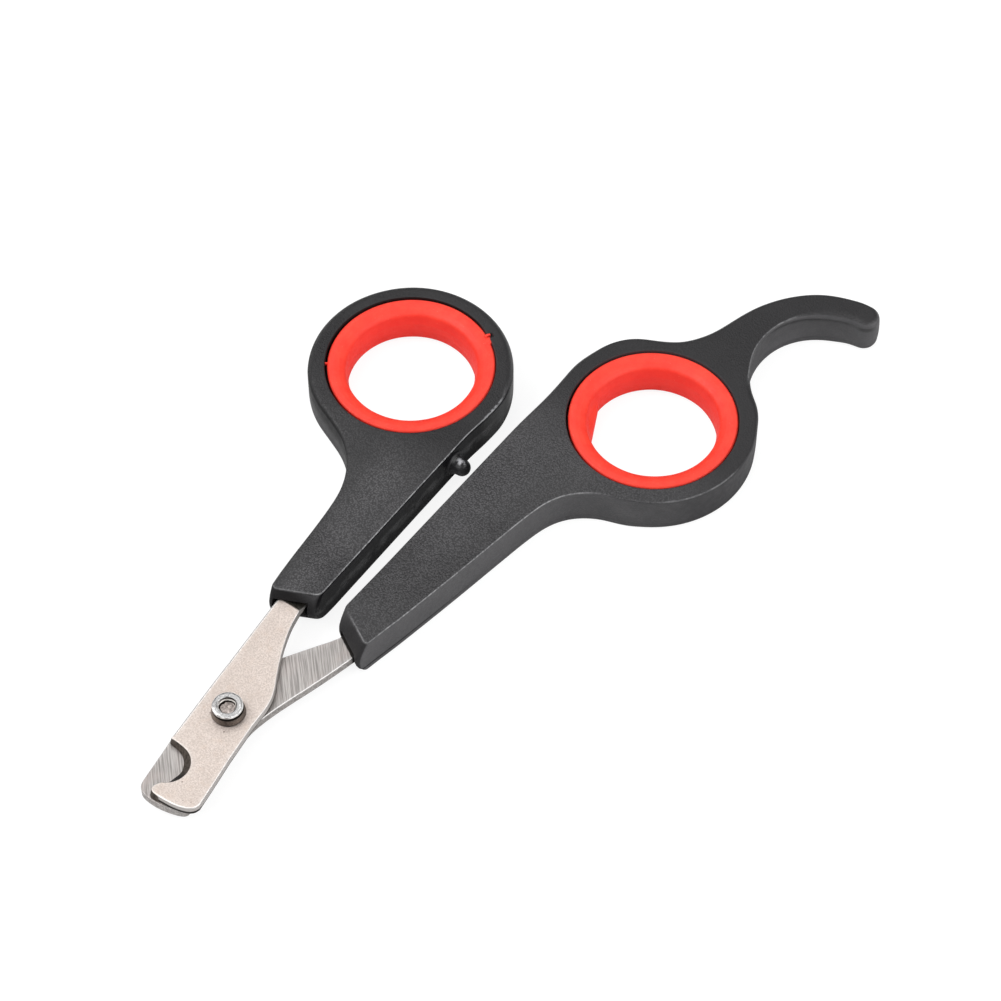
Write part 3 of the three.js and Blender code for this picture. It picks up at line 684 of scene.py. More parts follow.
def blade(name, outline, low, hole_radius, fold, top_edge, flare=0.0):
    """Stamped sheet with eased, polished edges, stepped where its tang begins. The fold is (start,
    end, turn in degrees, rise); the wall leans out by flare below its top edge."""
    before = unit_rows(outline - np.roll(outline, 1, 0))
    after = unit_rows(np.roll(outline, -1, 0) - outline)
    before, after = turned_left(before), turned_left(after)
    mitre = (before + after) / np.maximum(1 + np.sum(before * after, axis=1), 0.45)[:, None]
    top = low + SHEET
    raw_shaded_flare = np.clip(flare / 0.2, 0, 1)    # a flared wall is raw, and painted with shade: its "edge" value is negative
    bottom_edge = 0.06
    surface = Surface()
    loops = []

    def level(inset, z, edge):
        lean = flare * np.clip((top - top_edge - z) / (SHEET - top_edge), 0, 1)
        points = outline + mitre * (inset - lean)[:, None]
        z = np.broadcast_to(z, len(outline))
        loops.append(surface.ring(np.column_stack([points, z]), edge))

    level(top_edge + 0.06, top, 0.1)
    for k, shine in enumerate((0.5, 1.0, 1.0, 0.7, 0.0)):
        angle = math.pi / 2 * k / 4
        level(top_edge * (1 - math.sin(angle)), top - top_edge * (1 - math.cos(angle)),
              shine * (1 - 0.6 * raw_shaded_flare))
    wall_top = top - top_edge
    for part in (0.1, 0.3, 0.5, 0.7, 0.9):
        level(0.0, wall_top + (low + bottom_edge - wall_top) * part, -raw_shaded_flare)
    level(0.0, low + bottom_edge, -raw_shaded_flare)
    level(bottom_edge * 0.3, low + bottom_edge * 0.3, -raw_shaded_flare)
    level(bottom_edge, low, 0.0)
    level(bottom_edge + 0.06, low, 0.0)
    surface.skin(loops, flip=True)
    hole = lathe(surface, (0, 0), [
        (hole_radius + 0.12, top), (hole_radius, top - 0.08), (hole_radius, low + 0.08),
        (hole_radius + 0.12, low)], 64)
    surface.skin(hole)

    # rows of points along the fold, then the step itself
    start, end, turn, rise = fold
    cosine, sine = math.cos(math.radians(turn)), math.sin(math.radians(turn))
    lines = [(along * cosine - across * sine, along * sine + across * cosine)
             for along in (start, start + 0.3, end - 0.3, end)
             for across in np.arange(-12, 8, 0.35)]
    surface.cap([loops[0], hole[0]], up=True, grid=0.75, margin=0.3, lines=lines)
    surface.cap([loops[-1], hole[-1]], up=False, grid=0.75, margin=0.3, lines=lines)
    stepped = []
    for x, y, z in surface.points:
        part = float(np.clip((x * cosine + y * sine - start) / (end - start), 0, 1))
        wave = 0.012 * noise.noise(Vector((x * 0.22, y * 0.3, z * 0.1 + 3)))
        stepped.append((x, y, z + rise * part + wave))
    surface.points = stepped
    return finish_mesh(surface.to_object(name), 19)


def upper_blade():
    x, y = UPPER[:, 0], UPPER[:, 1]
    top_edge = np.where(x < -13.9, 0.16, 0.1)
    top_edge = np.where((y > 3.3) & (x > -7.5), 0.36, top_edge)
    # the notch is ground back from its top edge, most at its -Y end; the hook beside it less
    across, along = x - NOTCH[0], y - NOTCH[1]
    on_notch = (np.hypot(across, along) < 3.9) & (x > -14.3)
    lean = np.interp(np.degrees(np.arctan2(along, across)),
                     [-160, -148, -130, -112, -90, -64, -40, -20, -5, 12, 34],
                     [0.0, 0.5, 1.1, 1.3, 1.3, 1.22, 1.08, 0.8, 0.55, 0.36, 0.26])
    hook = np.where((x < -15.3) & (y > -0.5) & (y < 1.0), 0.3, 0.0)
    return blade("blade_upper", UPPER, low=3.15, hole_radius=1.66, fold=(18.4, 19.9, 0.0, -0.75),
                 top_edge=smoothed(top_edge, 6), flare=smoothed(np.where(on_notch, lean, hook), 3))


def lower_blade():
    x, y = LOWER[:, 0], LOWER[:, 1]
    top_edge = np.where((y < -3.4) & (x > -2) & (x < 20), 0.14, 0.09)
    return blade("blade_lower", LOWER, low=1.65, hole_radius=1.63, fold=(22.6, 24.1, -8.6, 0.75),
                 top_edge=smoothed(top_edge, 6))


# ------------------------------------------------------------------ pivot
# Radius and z, from the floor of the rolled end's hole, over the roll and down to the underside.
RIVET_PROFILE = [
    (0.02, 5.16), (0.8, 5.14), (1.03, 5.24), (1.08, 5.62), (1.12, 5.74), (1.24, 5.82),
    (1.25, 6.06), (1.3, 6.22), (1.44, 6.33), (1.82, 6.36), (2.06, 6.28), (2.15, 6.08),
    (2.13, 5.86), (2.02, 5.78), (1.58, 5.76), (1.58, 1.63), (2.6, 1.61), (2.75, 1.45),
    (2.75, 0.55), (2.6, 0.16), (2.2, 0.0), (1.1, 0.0), (0.02, 0.0)]


def rivet():
    profile = rounded(RIVET_PROFILE, 0.09, closed=False)
    fine = []                           # more points over the rolled end
    for start, end in zip(profile[:-1], profile[1:]):
        count = 3 if min(start[1], end[1]) > 4.9 and math.dist(start, end) > 0.12 else 1
        fine += [(start[0] + (end[0] - start[0]) * i / count,
                  start[1] + (end[1] - start[1]) * i / count) for i in range(count)]
    fine.append(profile[-1])

    def dents(angle, r, z):
        place = Vector((math.cos(angle) * r, math.sin(angle) * r, z * 0.8))
        coarse = noise.noise(place * 1.9 + Vector((4.2, 1.3, 0)))
        return coarse * 0.6 + noise.noise(place * 4.6) * 0.4

    def radius(angle, r, z):
        if z < 5.0 or r < 0.5:
            return r
        result = r + 0.035 * dents(angle, r, z)
        if r < 1.5:                     # the hole is not round, nor quite in the middle
            result += (0.035 * math.cos(3 * angle + 0.6) + 0.02 * math.cos(5 * angle + 2.0)
                       + 0.05 * math.cos(angle - 2.5))
        return min(result, 2.24)

    def height(angle, r, z):
        if z < 5.0:
            return z
        if r < 1.04:
            place = Vector((math.cos(angle) * r * 2.6, math.sin(angle) * r * 2.6, 9.0))
            return z + 0.11 * noise.noise(place)
        outer = ease(1.3, 1.9, r)
        return (z - abs(0.06 * dents(angle + 1.7, r, z)) * outer
                - 0.035 * outer * max(0.0, math.cos(angle - 0.9)) ** 3)

    surface = Surface()
    rings = lathe(surface, (0, 0), fine, 120, radius, height)
    surface.skin(rings)
    for loop, z, flip in ((rings[0], 5.0, True), (rings[-1], 0.0, False)):
        tip = surface.ring([(0, 0, z)])[0]
        for i in range(len(loop)):
            triangle = (loop[i], loop[(i + 1) % len(loop)], tip)
            surface.faces.append(triangle[::-1] if flip else triangle)
    surface.points = [(x - HEAD_SHIFT[0] * ease(5.0, 5.7, z), y - HEAD_SHIFT[1] * ease(5.0, 5.7, z),
                       z) for x, y, z in surface.points]
    ob = surface.to_object("rivet")
    recalculate_normals(ob)
    return finish_mesh(ob, 50)


def washer():
    """Tapered collar under the rivet's rolled end."""
    def radius(angle, r, z):
        place = Vector((math.cos(angle) * 3, math.sin(angle) * 3, z))
        return r + (0.02 * noise.noise(place) if r > 2 else 0)

    surface = Surface()
    profile = rounded([(1.88, 4.6), (2.42, 4.6), (2.16, 5.7), (1.88, 5.7)], 0.08)
    rings = lathe(surface, (-HEAD_SHIFT[0], -0.08), profile, 96, radius)
    surface.skin(rings + rings[:1])
    ob = surface.to_object("washer")
    recalculate_normals(ob)
    return finish_mesh(ob, 40)


# ------------------------------------------------------------------ node helpers
class Value:
    """A node's output with arithmetic: each operator adds a node."""

    def __init__(self, graph, socket):
        self.graph, self.socket = graph, socket

    def __add__(self, other):
        return self.graph.math("ADD", self, other)

    def __radd__(self, other):
        return self.graph.math("ADD", other, self)

    def __sub__(self, other):
        return self.graph.math("SUBTRACT", self, other)

    def __rsub__(self, other):
        return self.graph.math("SUBTRACT", other, self)

    def __mul__(self, other):
        return self.graph.math("MULTIPLY", self, other)

    def __truediv__(self, other):
        return self.graph.math("DIVIDE", self, other)

    def __abs__(self):
        return self.graph.math("ABSOLUTE", self)

    def maximum(self, other):
        return self.graph.math("MAXIMUM", self, other)

    def ramp(self, low, high, start=0.0, end=1.0):
        """Goes smoothly from start, at low, to end, at high."""
        limits = {"From Min": low, "From Max": high, "To Min": start, "To Max": end}
        return self.graph.value("MapRange", {"Value": self, **limits},
                                interpolation_type="SMOOTHSTEP")

    def fall(self, low, high):
        return self.ramp(low, high, start=1.0, end=0.0)

    def band(self, rise_low, rise_high, fall_low, fall_high):
        return self.ramp(rise_low, rise_high) * self.fall(fall_low, fall_high)


class Graph:
    """Writes the shader nodes of a material or world."""

    def __init__(self, owner, math_inputs=3):
        owner.use_nodes = True
        self.tree = owner.node_tree
        self.tree.nodes.clear()
        self.math_inputs = math_inputs  # how many inputs of a math node are set

    def link(self, value, socket):
        if isinstance(value, Value):
            self.tree.links.new(value.socket, socket)
        elif isinstance(value, tuple) and len(socket.default_value) == 4:
            socket.default_value = (*value, 1.0)
        else:
            socket.default_value = value

    def node(self, kind, inputs=None, **settings):
        node = self.tree.nodes.new("ShaderNode" + kind)
        for key, setting in settings.items():
            setattr(node, key, setting)
        for key, value in (inputs or {}).items():
            self.link(value, node.inputs[key])
        return node

    def value(self, kind, inputs=None, output=0, **settings):
        return Value(self, self.node(kind, inputs, **settings).outputs[output])

    def math(self, operation, *values):
        values += (0.0,) * (self.math_inputs - len(values))
        return self.value("Math", dict(enumerate(values)), operation=operation)


class Material(Graph):
    """Principled material. Coordinates are in millimetres in the piece's own frame; the base colour
    is painted coat over coat."""

    def __init__(self, name):
        self.material = bpy.data.materials.new(name)
        super().__init__(self.material)
        self.shader = self.node("BsdfPrincipled")
        self.node("OutputMaterial", {0: Value(self, self.shader.outputs[0])})
        self.at = self.value("VectorMath", {
            0: self.value("TexCoord", output="Object"), "Scale": 1000.0}, operation="SCALE")
        self.base = None

    def xyz(self, vector):
        return [Value(self, out) for out in self.node("SeparateXYZ", {0: vector}).outputs]

    def facing(self):
        """Shading normal in the piece's own frame."""
        return self.xyz(self.value("TexCoord", output="Normal"))

    def moved(self, shift=(0, 0, 0), turn=0.0, stretch=(1, 1, 1), at=None):
        return self.value("Mapping", {
            0: at or self.at, "Location": shift, "Rotation": (0, 0, turn), "Scale": stretch})

    def noise(self, scale, detail=3.0, rough=0.6, at=None):
        return self.value("TexNoise", {
            "Vector": at or self.at, "Scale": scale, "Detail": detail, "Roughness": rough})

    def cells(self, scale, at, smooth=None):
        inputs = {"Vector": at, "Scale": scale}
        if smooth is not None:
            inputs["Smoothness"] = smooth
        return self.value("TexVoronoi", inputs, "Distance",
                          feature="F1" if smooth is None else "SMOOTH_F1")

    def radius(self, x, y):
        return self.math("SQRT", x * x + y * y)

    def mix(self, amount, first, second):
        return self.value("Mix", {0: amount, 6: first, 7: second}, 2, data_type="RGBA")

    def paint(self, colour, amount):
        self.base = self.mix(amount, self.base, colour)

    def bump(self, height, distance, strength=1.0, over=None):
        inputs = {"Strength": strength, "Distance": distance * MM, "Height": height}
        if over is not None:
            inputs["Normal"] = over
        return self.value("Bump", inputs)

    def attribute(self, name):
        return self.value("Attribute", None, "Fac", attribute_name=name)

    def finish(self, **inputs):
        for key, value in {"Base_Color": self.base, **inputs}.items():
            self.link(value, self.shader.inputs[key.replace("_", " ")])
        return self.material


# ------------------------------------------------------------------ materials
def plastic(name, seed, thumb):
    """Grained black plastic with worn edges; highlights, light and shade are painted into its
    colour.
    """
    mat = Material(name)
    at = mat.moved(shift=(seed, seed * 0.7, 0))
    x, y, z = mat.xyz(mat.at)
    face_x, face_y, face_z = mat.facing()
    flat = abs(face_z).ramp(0.55, 0.97)                     # 1 on top and underside, 0 on walls
    second_cells = mat.cells(6.0, mat.moved(shift=(seed + 5, 2, 1)))
    grain = (mat.cells(3.5, at, smooth=0.35) * 0.9
             + (second_cells * 0.35 + mat.noise(9.5, at=at) * 0.45))
    patches = mat.noise(0.09, detail=2.0, rough=0.5, at=at).ramp(0.38, 0.62, start=0.55, end=1.3)
    along = x.ramp(48.0, 74.0, start=1.0, end=0.55)         # the grain is finer round the rings
    height = grain * (flat.ramp(0, 1, start=0.2) * patches * along)
    wear_and_highlight = mat.attribute("edge") * mat.noise(1.9, detail=4.0, rough=0.65, at=at).ramp(
        0.36, 0.62, start=0.35)
    if thumb:
        # the wall on the -Y side and its stop are glossy
        gloss = (face_y.fall(-0.9, -0.6) * y.fall(3.0, 4.5)).maximum(y.fall(0.3, 0.55))
        nose = x.fall(19.2, 21.2) * (1.0 - flat)
        wear_and_highlight = wear_and_highlight * y.ramp(8.0, 11.0, start=1.0, end=0.15)
        far = x.ramp(40.0, 55.0) * flat
    else:
        nose = face_x.fall(-0.75, -0.5) * x.fall(19.5, 22.5) * 0.85
        far = x.ramp(57.0, 74.0) * flat

    tone = mat.noise(0.25, rough=0.55, at=at).ramp(0.3, 0.7)
    mat.base = mat.mix(tone, (0.043, 0.042, 0.045), (0.060, 0.058, 0.061))
    if not thumb:
        # painted light and shade: a paler top, paler walls on the shank and the rest, darker walls
        # round the ring
        mat.paint((0.071, 0.069, 0.073), x.ramp(28.0, 42.0) * flat * 0.6)
        pale = x.ramp(50.0, 66.0, start=0.55, end=0.0).maximum(x.ramp(86.0, 92.0, end=0.4))
        mat.paint((0.092, 0.09, 0.094), (1.0 - flat) * pale)
        mat.paint((0.022, 0.021, 0.023),
                  (1.0 - flat) * x.ramp(58.0, 68.0) * x.ramp(84.0, 90.0, start=0.45, end=0.0))
    # painted shade on the tops from the rings to the back
    mat.paint((0.019, 0.0182, 0.0195), far)
    # painted shade across the shanks' tops, and a painted highlight band along the thumb's; over
    # runs 0 to 1 from -Y to +Y
    if thumb:
        over = (y - 1.2) / (7.0 + (x - 23.0) * 0.16)
        shank = flat * x.fall(42.0, 50.0)
        mat.paint((0.013, 0.0125, 0.013), over.ramp(0.6, 1.0) * 0.6 * shank)
        mat.paint((0.105, 0.101, 0.106), over.band(0.08, 0.36, 0.5, 0.8) * 0.3 * shank)
    else:
        over = (y + 10.44 + (x - 20.4) * 0.123) / (6.9 + (x - 20.4) * 0.057)
        shank = flat * x.fall(54.0, 66.0)
        mat.paint((0.016, 0.0155, 0.016), over.fall(0.0, 0.7) * 0.42 * shank)
    # dark pits in the grain, then worn edges painted bright as a highlight
    pits = grain.ramp(0.55, 1.05) * flat.ramp(0, 1, start=0.25, end=0.85)
    mat.paint((0.012, 0.0115, 0.0125), pits * along)
    mat.paint((0.42, 0.42, 0.43), wear_and_highlight)
    rough = mat.noise(1.1, at=at).ramp(0.3, 0.7, start=0.44, end=0.54) + wear_and_highlight * -0.15
    if thumb:
        # painted reflection: a paler streak along the middle of the glossy wall
        reflection_streak_noise = mat.noise(0.35, detail=4.0, rough=0.65, at=at).ramp(0.35, 0.62)
        band = z.band(1.5, 2.7, 3.3, 4.5) * reflection_streak_noise
        mat.paint(mat.mix(band, (0.009, 0.009, 0.010), (0.050, 0.050, 0.052)),
                  gloss * (1.0 - wear_and_highlight))
        rough = rough * (1.0 - gloss) + gloss * 0.24
        height = height * (1.0 - gloss * 0.7)
        # painted highlights on top of the stop
        stop_highlight_spots = mat.noise(1.5, at=mat.moved(shift=(1.5, 0.4, 0))).ramp(0.4, 0.56)
        mat.paint((0.42, 0.42, 0.44), y.fall(0.3, 0.8) * face_z.ramp(0.84, 0.98) * stop_highlight_spots * 0.9)
    # painted shade on the front walls of the nose
    mat.paint((0.006, 0.0057, 0.006), nose * 0.8)
    specular = 0.5 - nose * 0.38 - far * 0.17
    if thumb:
        # painted shade on the upper walls on the +Y side
        dim = (1.0 - flat) * z.ramp(2.2, 4.6) * y.ramp(9.0, 12.0)
        mat.paint((0.006, 0.0058, 0.006), dim * 0.9)
        specular = specular * (1.0 - dim * 0.6)
        wall = gloss * y.ramp(0.2, 0.5)
        specular = specular * (1.0 - wall * band.ramp(0.0, 1.0, start=0.75, end=0.2))
    else:
        # painted shade along the parting line towards the front, and in a crease under the rest's
        # edge
        seam_shade = z.band(0.8, 0.95, 1.16, 1.34) * (
            (1.0 - flat) * x.ramp(24.0, 44.0, start=1.0, end=0.1))
        mat.paint((0.004, 0.0038, 0.004),
                  seam_shade * mat.noise(0.8, at=at).ramp(0.3, 0.55, start=0.5, end=0.92))
        crease_shade = z.band(4.2, 4.85, 5.1, 5.4) * x.band(96.0, 100.0, 106.4, 107.8)
        inner = (face_x * 0.35 + face_y).fall(-0.6, -0.25)
        mat.paint((0.008, 0.0078, 0.0085), crease_shade * inner * 0.75)
        ring_wall = (1.0 - flat) * x.ramp(58.0, 68.0) * x.fall(84.0, 90.0)
        specular = specular - ring_wall * 0.17
        specular = specular * (1.0 - seam_shade * 0.7)
    scuff = mat.noise(0.9, detail=5.0, rough=0.7, at=mat.moved(
        shift=(seed, 0, 0), turn=0.5, stretch=(0.35, 2.4, 1)))
    normal = mat.bump(scuff, distance=0.03, strength=0.35, over=mat.bump(height, distance=0.12))
    return mat.finish(Roughness=rough, IOR=1.5, Normal=normal, Specular_IOR_Level=specular)


def red_rubber(name, seed):
    mat = Material(name)
    at = mat.moved(shift=(seed, 1.0, 0))
    face_z = mat.facing()[2]
    tone = mat.noise(0.5, at=at).ramp(0.3, 0.7)
    mat.base = mat.mix(tone, (0.80, 0.036, 0.020), (0.86, 0.050, 0.027))
    # walls painted a deeper red as shade, and pale specks
    mat.paint((0.90, 0.024, 0.018), abs(face_z).fall(0.1, 0.75) * 0.5)
    mat.paint((0.95, 0.22, 0.17), mat.cells(1.15, at).fall(0.03, 0.075) * 0.5)
    grain = mat.noise(5.5, at=at) + mat.noise(1.2, detail=2.0, rough=0.5, at=at) * 0.6
    flow = mat.noise(3.2, detail=2.0, rough=0.5, at=mat.moved(
        shift=(seed, 0, 0), stretch=(0.5, 0.5, 3.0)))
    return mat.finish(
        Roughness=mat.noise(2.4, at=at).ramp(0.3, 0.7, start=0.46, end=0.6), IOR=1.47,
        Normal=mat.bump(grain + flow * 0.5, distance=0.03, strength=0.6),
        Specular_IOR_Level=0.4, Subsurface_Weight=0.12, Subsurface_Radius=(1.0, 0.12, 0.06),
        Subsurface_Scale=0.0012)


# Single pits in the upper blade's top: x, y, radius.
PITS = ((-3.04, -1.57, 0.13), (-12.46, -1.95, 0.12), (-1.79, 1.85, 0.1), (-14.2, -4.9, 0.08))


def steel_satin(name):
    """Mottled satin steel of the upper blade."""
    mat = Material(name)
    at = mat.moved(shift=(3, 1, 0))
    raw_edge = mat.attribute("edge")
    edge = raw_edge.maximum(0.0)
    x, y, z = mat.xyz(mat.at)
    face_x, face_y, face_z = mat.facing()
    side = abs(face_z).fall(0.2, 0.6)
    mottle = mat.noise(3.7, detail=4.0, rough=0.65, at=at)
    broad = mat.noise(0.35, rough=0.55, at=at)
    mat.base = mat.mix(broad.ramp(0.3, 0.7), (0.640, 0.564, 0.519), (0.700, 0.620, 0.572))
    mat.paint((0.52, 0.45, 0.405), mottle.ramp(0.38, 0.62, end=0.7))
    # stains and a few pits
    stain = mat.noise(0.8, at=mat.moved(shift=(9, 4, 0))).ramp(0.5, 0.75)
    mat.paint((0.60, 0.485, 0.41), stain * 0.35)
    pit = mat.cells(0.62, mat.moved(shift=(2.2, 5.1, 0), stretch=(1, 1, 0.01))).fall(0.028, 0.055)
    for pit_x, pit_y, size in PITS:
        pit = pit.maximum(mat.radius(x - pit_x, y - pit_y).fall(size * 0.5, size * 1.3))
    mat.paint((0.13, 0.09, 0.07), pit * face_z.ramp(0.9, 0.98) * 0.75)
    mat.paint((0.60, 0.585, 0.575), side * 0.75)
    # painted shade in a line where the two blades meet, widest round the hook
    seam_shade = (z - x.fall(-14.6, -12.6) * 0.34).fall(3.27, 3.44) * side
    seam_shade = seam_shade.maximum(y.ramp(-0.7, -0.1) * x.fall(-15.5, -15.2) * side)
    mat.paint((0.014, 0.011, 0.009), seam_shade * 0.96)
    # the notch's cut wall is raw, and painted dark as shade
    tooth = mat.noise(3.4, at=mat.moved(stretch=(1, 1, 0.12)))
    mat.paint(mat.mix(tooth.ramp(0.35, 0.65), (0.055, 0.044, 0.036), (0.135, 0.112, 0.094)),
              (raw_edge * -1.0).ramp(0.1, 0.5) * 0.96)
    # painted shade and the handle's reflection on the sloping step in the handle's mouth
    mat.paint(mat.mix(tooth.ramp(0.4, 0.6), (0.05, 0.045, 0.034), (0.16, 0.15, 0.12)),
              x.ramp(18.5, 18.6) * face_z.ramp(0.3, 0.5) * 0.92)
    # polished edges, painted pale as a highlight
    mat.paint((0.90, 0.875, 0.855), edge * 0.9)
    # painted shade on walls that face +X +Y
    away = (face_x * 0.809 + face_y * 0.588).ramp(0.36, 0.56)
    mat.paint((0.035, 0.032, 0.031), away * face_z.ramp(0.9, 0.97, start=0.96, end=0.0))
    rough = mottle.ramp(0.3, 0.7, start=0.49, end=0.57) + edge * -0.14 + side * 0.08
    scratches = mat.noise(3.0, detail=4.0, rough=0.7, at=mat.moved(
        shift=(0, 7, 0), turn=0.16, stretch=(0.25, 3.0, 1)))
    grain = mottle + mat.noise(9.0, detail=2.0, rough=0.5, at=at) * 0.5
    normal = mat.bump(scratches, distance=0.012, strength=0.4,
                      over=mat.bump(grain, distance=0.045, strength=0.9))
    return mat.finish(Metallic=1.0, Roughness=rough, Normal=normal)


def steel_ground(name):
    """Ground steel of the lower blade, its grinding lines across the blade."""
    mat = Material(name)
    edge = mat.attribute("edge")
    side = abs(mat.facing()[2]).fall(0.2, 0.6)
    x, y, _ = mat.xyz(mat.at)
    streaked = mat.moved(stretch=(0.12, 5.2, 1.0), at=mat.moved(turn=math.radians(-44)))
    lines = mat.noise(1.0, detail=4.0, rough=0.66, at=streaked)
    broad = mat.noise(0.4, detail=2.0, rough=0.5, at=streaked)
    warm = mat.noise(0.3, detail=2.0, rough=0.5, at=mat.moved(shift=(4, 2, 0)))
    mat.base = mat.mix(lines.ramp(0.37, 0.63), (0.235, 0.219, 0.210), (0.455, 0.43, 0.414))
    mat.paint((0.51, 0.49, 0.475), broad.ramp(0.35, 0.65) * 0.12)
    mat.paint((0.48, 0.41, 0.39), warm.ramp(0.45, 0.7) * 0.35)
    # gritty walls, and polished edges painted pale as a highlight
    grit = mat.noise(2.6, detail=4.0, rough=0.7).ramp(0.36, 0.64)
    mat.paint(mat.mix(grit, (0.36, 0.335, 0.32), (0.74, 0.71, 0.69)), side * 0.6)
    mat.paint((0.70, 0.695, 0.69), edge * x.ramp(-13.5, -9.5, start=0.12, end=0.75))
    # painted shade in the handle's mouth, past the line of the handle's front
    depth = (x - 16.75) * 0.8715 - (y + 9.0) * 0.4906
    mouth_shade = (depth + mat.noise(1.3) * 0.2).ramp(-0.2, -0.02) * 0.96
    mat.paint((0.006, 0.0055, 0.005), mouth_shade)
    return mat.finish(
        Metallic=1.0 - mouth_shade, Roughness=lines.ramp(0.3, 0.7, start=0.54, end=0.44) + edge * -0.08,
        Normal=mat.bump(lines, distance=0.03, strength=0.8),
        Specular_IOR_Level=(1.0 - mouth_shade) * 0.5)


def rivet_steel(name):
    mat = Material(name)
    x, y, z = mat.xyz(mat.at)
    face_x, _, face_z = mat.facing()
    radius = mat.radius(x + HEAD_SHIFT[0], y + HEAD_SHIFT[1])
    mottle = mat.noise(3.0, detail=4.0, rough=0.65)
    mat.base = mat.mix(mottle.ramp(0.35, 0.65), (0.34, 0.335, 0.335), (0.50, 0.495, 0.49))
    # dark chips, and painted glints on top
    chips = mat.noise(2.3, detail=4.0, rough=0.7, at=mat.moved(shift=(3, 1, 0))).ramp(0.52, 0.66)
    mat.paint((0.16, 0.155, 0.155), chips * face_z.ramp(0.8, 0.95) * 0.5)
    painted_glints = mat.noise(3.1, rough=0.7, at=mat.moved(shift=(7, 2, 0))).ramp(0.56, 0.68)
    mat.paint((0.9, 0.9, 0.9), painted_glints * face_z.ramp(0.8, 0.95) * 0.7)
    # painted highlights on the outer rim and the hole's lip
    rim = radius.ramp(1.94, 2.08) * z.ramp(6.0, 6.1)
    lip = radius.band(1.27, 1.31, 1.38, 1.46) * face_x.ramp(0.05, 0.3)
    shine = rim.maximum(lip) * mat.noise(1.4).ramp(0.36, 0.56)
    mat.paint((0.93, 0.925, 0.915), shine)
    # painted shade on the hole's wall, with a painted highlight on its roll; its floor a dull
    # pinkish grey
    hole = radius.fall(1.22, 1.31) * z.ramp(4.9, 5.0)
    roll = z.band(5.7, 5.77, 5.88, 5.96)
    wall = mat.mix(roll * 0.9, (0.02, 0.016, 0.014), (0.72, 0.69, 0.66))
    floor_tone = mat.mix(mat.noise(1.9).ramp(0.38, 0.62), (0.30, 0.255, 0.235), (0.66, 0.58, 0.54))
    hole_floor = face_z.ramp(0.6, 0.85) * z.fall(5.3, 5.4) * hole
    mat.paint(mat.mix(hole_floor, wall, floor_tone), hole)
    # painted shade under the rolled edge
    mat.paint((0.03, 0.026, 0.023), z.fall(5.92, 6.02) * radius.ramp(1.6, 1.9) * 0.95)
    grain = mat.noise(2.2) + hole * mat.noise(6.0, rough=0.7)
    return mat.finish(
        Metallic=1.0 - shine * 0.55 - hole_floor * 0.6,
        Roughness=mottle.ramp(0.3, 0.7, start=0.38, end=0.5) + hole * 0.08,
        Normal=mat.bump(grain, distance=0.05, strength=0.6))


def washer_steel(name):
    mat = Material(name)
    mottle = mat.noise(3.0, detail=4.0, rough=0.65, at=mat.moved(stretch=(1, 1, 2)))
    z = mat.xyz(mat.at)[2]
    mat.base = mat.mix(mottle.ramp(0.3, 0.7), (0.09, 0.078, 0.07), (0.22, 0.19, 0.168))
    # painted shade at its upper and lower ends
    mat.paint((0.02, 0.017, 0.015), z.ramp(5.5, 5.62).maximum(z.fall(4.68, 4.8)))
    return mat.finish(Metallic=1.0, Roughness=mottle.ramp(0.3, 0.7, start=0.32, end=0.5),
                      Normal=mat.bump(mottle, distance=0.03, strength=0.6))


# ------------------------------------------------------------------ pieces
def place(ob, body, node, slot, material):
    ob.data.materials.clear()
    ob.data.materials.append(material)
    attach(ob, body)
    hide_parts(node)


place(thumb_grip(), "thumb_half", "thumb_handle", "handle_plastic",
      plastic("black_plastic_thumb", 11.0, thumb=True))
place(finger_grip(), "finger_half", "finger_handle", "handle_plastic",
      plastic("black_plastic_finger", 37.0, thumb=False))
place(liner("liner_thumb", THUMB_RING, thumb=True), "thumb_half", "thumb_ring_insert",
      "insert_rubber", red_rubber("red_rubber_thumb", 2.0))
place(liner("liner_finger", FINGER_RING, thumb=False), "finger_half", "finger_ring_insert",
      "insert_rubber", red_rubber("red_rubber_finger", 8.0))
place(upper_blade(), "thumb_half", "upper_blade", "satin_steel", steel_satin("steel_satin"))
place(lower_blade(), "finger_half", "lower_blade", "ground_steel", steel_ground("steel_ground"))
place(rivet(), "finger_half", "pivot_rivet", "rivet_steel", rivet_steel("steel_rivet"))
place(washer(), "finger_half", "rivet_washer", "washer_steel", washer_steel("steel_washer"))


# ------------------------------------------------------------------ floor, light, camera (metres)
def floor_white():
    """Near white as the camera sees it, and a mid grey to everything it lights."""
    material = bpy.data.materials.new("floor_white")
    graph = Graph(material)
    grey = graph.value("BsdfDiffuse", {"Color": (0.6, 0.6, 0.6)})
    pale = graph.value("BsdfDiffuse", {"Color": (0.2, 0.2, 0.2)})
    glow = graph.value("Emission", {"Strength": 0.86})
    seen = graph.value("AddShader", {0: pale, 1: glow})
    camera_ray = graph.value("LightPath", output="Is Camera Ray")
    graph.node("OutputMaterial", {0: graph.value("MixShader", {0: camera_ray, 1: grey, 2: seen})})
    return material


def make_floor():
    half_size, level = 3.0, -0.0001
    bm = bmesh.new()
    bm.faces.new([bm.verts.new((x * half_size, y * half_size, level))
                  for x, y in ((-1, -1), (1, -1), (1, 1), (-1, 1))])
    floor = bmesh_object("floor", bm)
    floor.data.materials.append(floor_white())


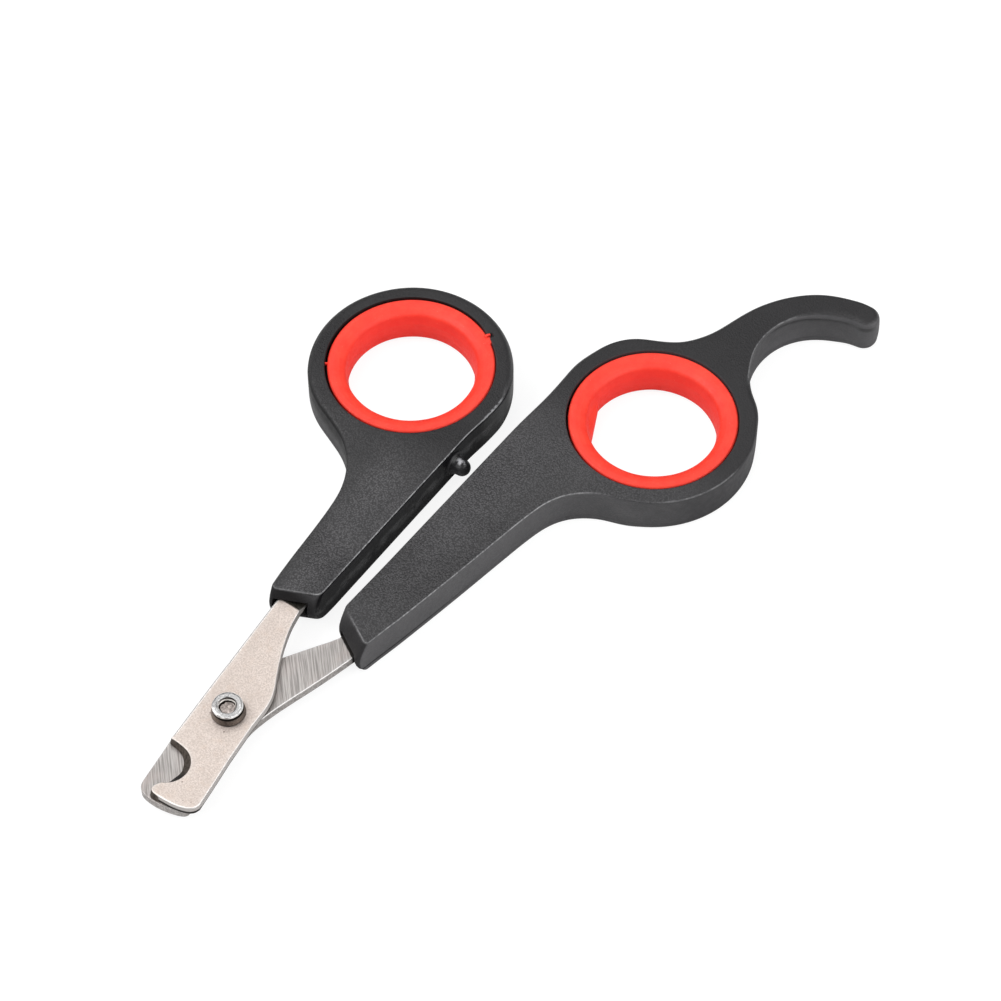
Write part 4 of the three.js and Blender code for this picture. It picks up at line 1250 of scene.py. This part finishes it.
def make_world():
    """Soft overhead tent: dark round the horizon, bright above."""
    world = bpy.data.worlds.new("studio")
    bpy.context.scene.world = world
    graph = Graph(world, math_inputs=2)
    direction = graph.value("TexCoord", output="Generated")

    def toward(azimuth, elevation):
        """Cosine of the angle to a direction given in degrees."""
        turn, lift = math.radians(azimuth), math.radians(elevation)
        aim = (math.cos(turn) * math.cos(lift), math.sin(turn) * math.cos(lift), math.sin(lift))
        return graph.value("VectorMath", {0: direction, 1: aim}, "Value", operation="DOT_PRODUCT")

    sky = toward(0, 90).ramp(0.22, 0.72, start=0.07, end=0.78)
    patch = toward(50, 62).ramp(0.86, 0.985, end=0.15)
    left = toward(150, 48).ramp(0.78, 0.96, end=1.3)
    right = toward(-84, 31).ramp(0.80, 0.96, end=2.5)
    shade = toward(-144, 54).ramp(0.82, 0.96, start=1.0, end=0.5)   # round the camera
    strength = (sky + patch) * shade + (left + right)
    graph.node("OutputWorld", {0: graph.value("Background", {0: (1, 1, 1), 1: strength})})


def area_light(name, at, target, size, power):
    light = bpy.data.lights.new(name, "AREA")
    light.shape, light.size, light.energy = "SQUARE", size, power
    ob = link_object(name, light)
    ob.location = at
    ob.rotation_mode = "QUATERNION"
    ob.rotation_quaternion = (Vector(target) - Vector(at)).to_track_quat("-Z", "Y")


def make_camera():
    camera = bpy.data.cameras.new("camera")
    camera.sensor_width = 36.0
    camera.lens = 122.28
    camera.clip_start, camera.clip_end = 0.01, 20
    ob = link_object("camera", camera)
    place_at = (-0.17758, -0.17446, 0.39460)
    view = Vector((0.4732, 0.3438, -0.8111)).normalized()
    right = view.cross(Vector((0.6562, 0.4767, 0.5850)).normalized()).normalized()
    up = right.cross(view).normalized()
    rows = [(right[i], up[i], -view[i], place_at[i]) for i in range(3)]
    ob.matrix_world = Matrix((*rows, (0, 0, 0, 1)))
    bpy.context.scene.camera = ob


make_floor()
make_world()
area_light("light_back", at=(-0.25, 0.55, 0.75), target=(0.045, -0.01, 0.0), size=0.35, power=3.0)
# compact box that the top faces, the grain and the stop mirror towards the camera
key_target = Vector((0.01, 0.0, 0.0))
key_direction = Vector((0.40, 0.385, 0.83)).normalized()
area_light("light_key", at=key_target + key_direction * 1.2, target=key_target, size=0.3, power=1.1)
make_camera()

view_settings = bpy.context.scene.view_settings
view_settings.view_transform = "Standard"
view_settings.look = "None"
view_settings.exposure = 0.0
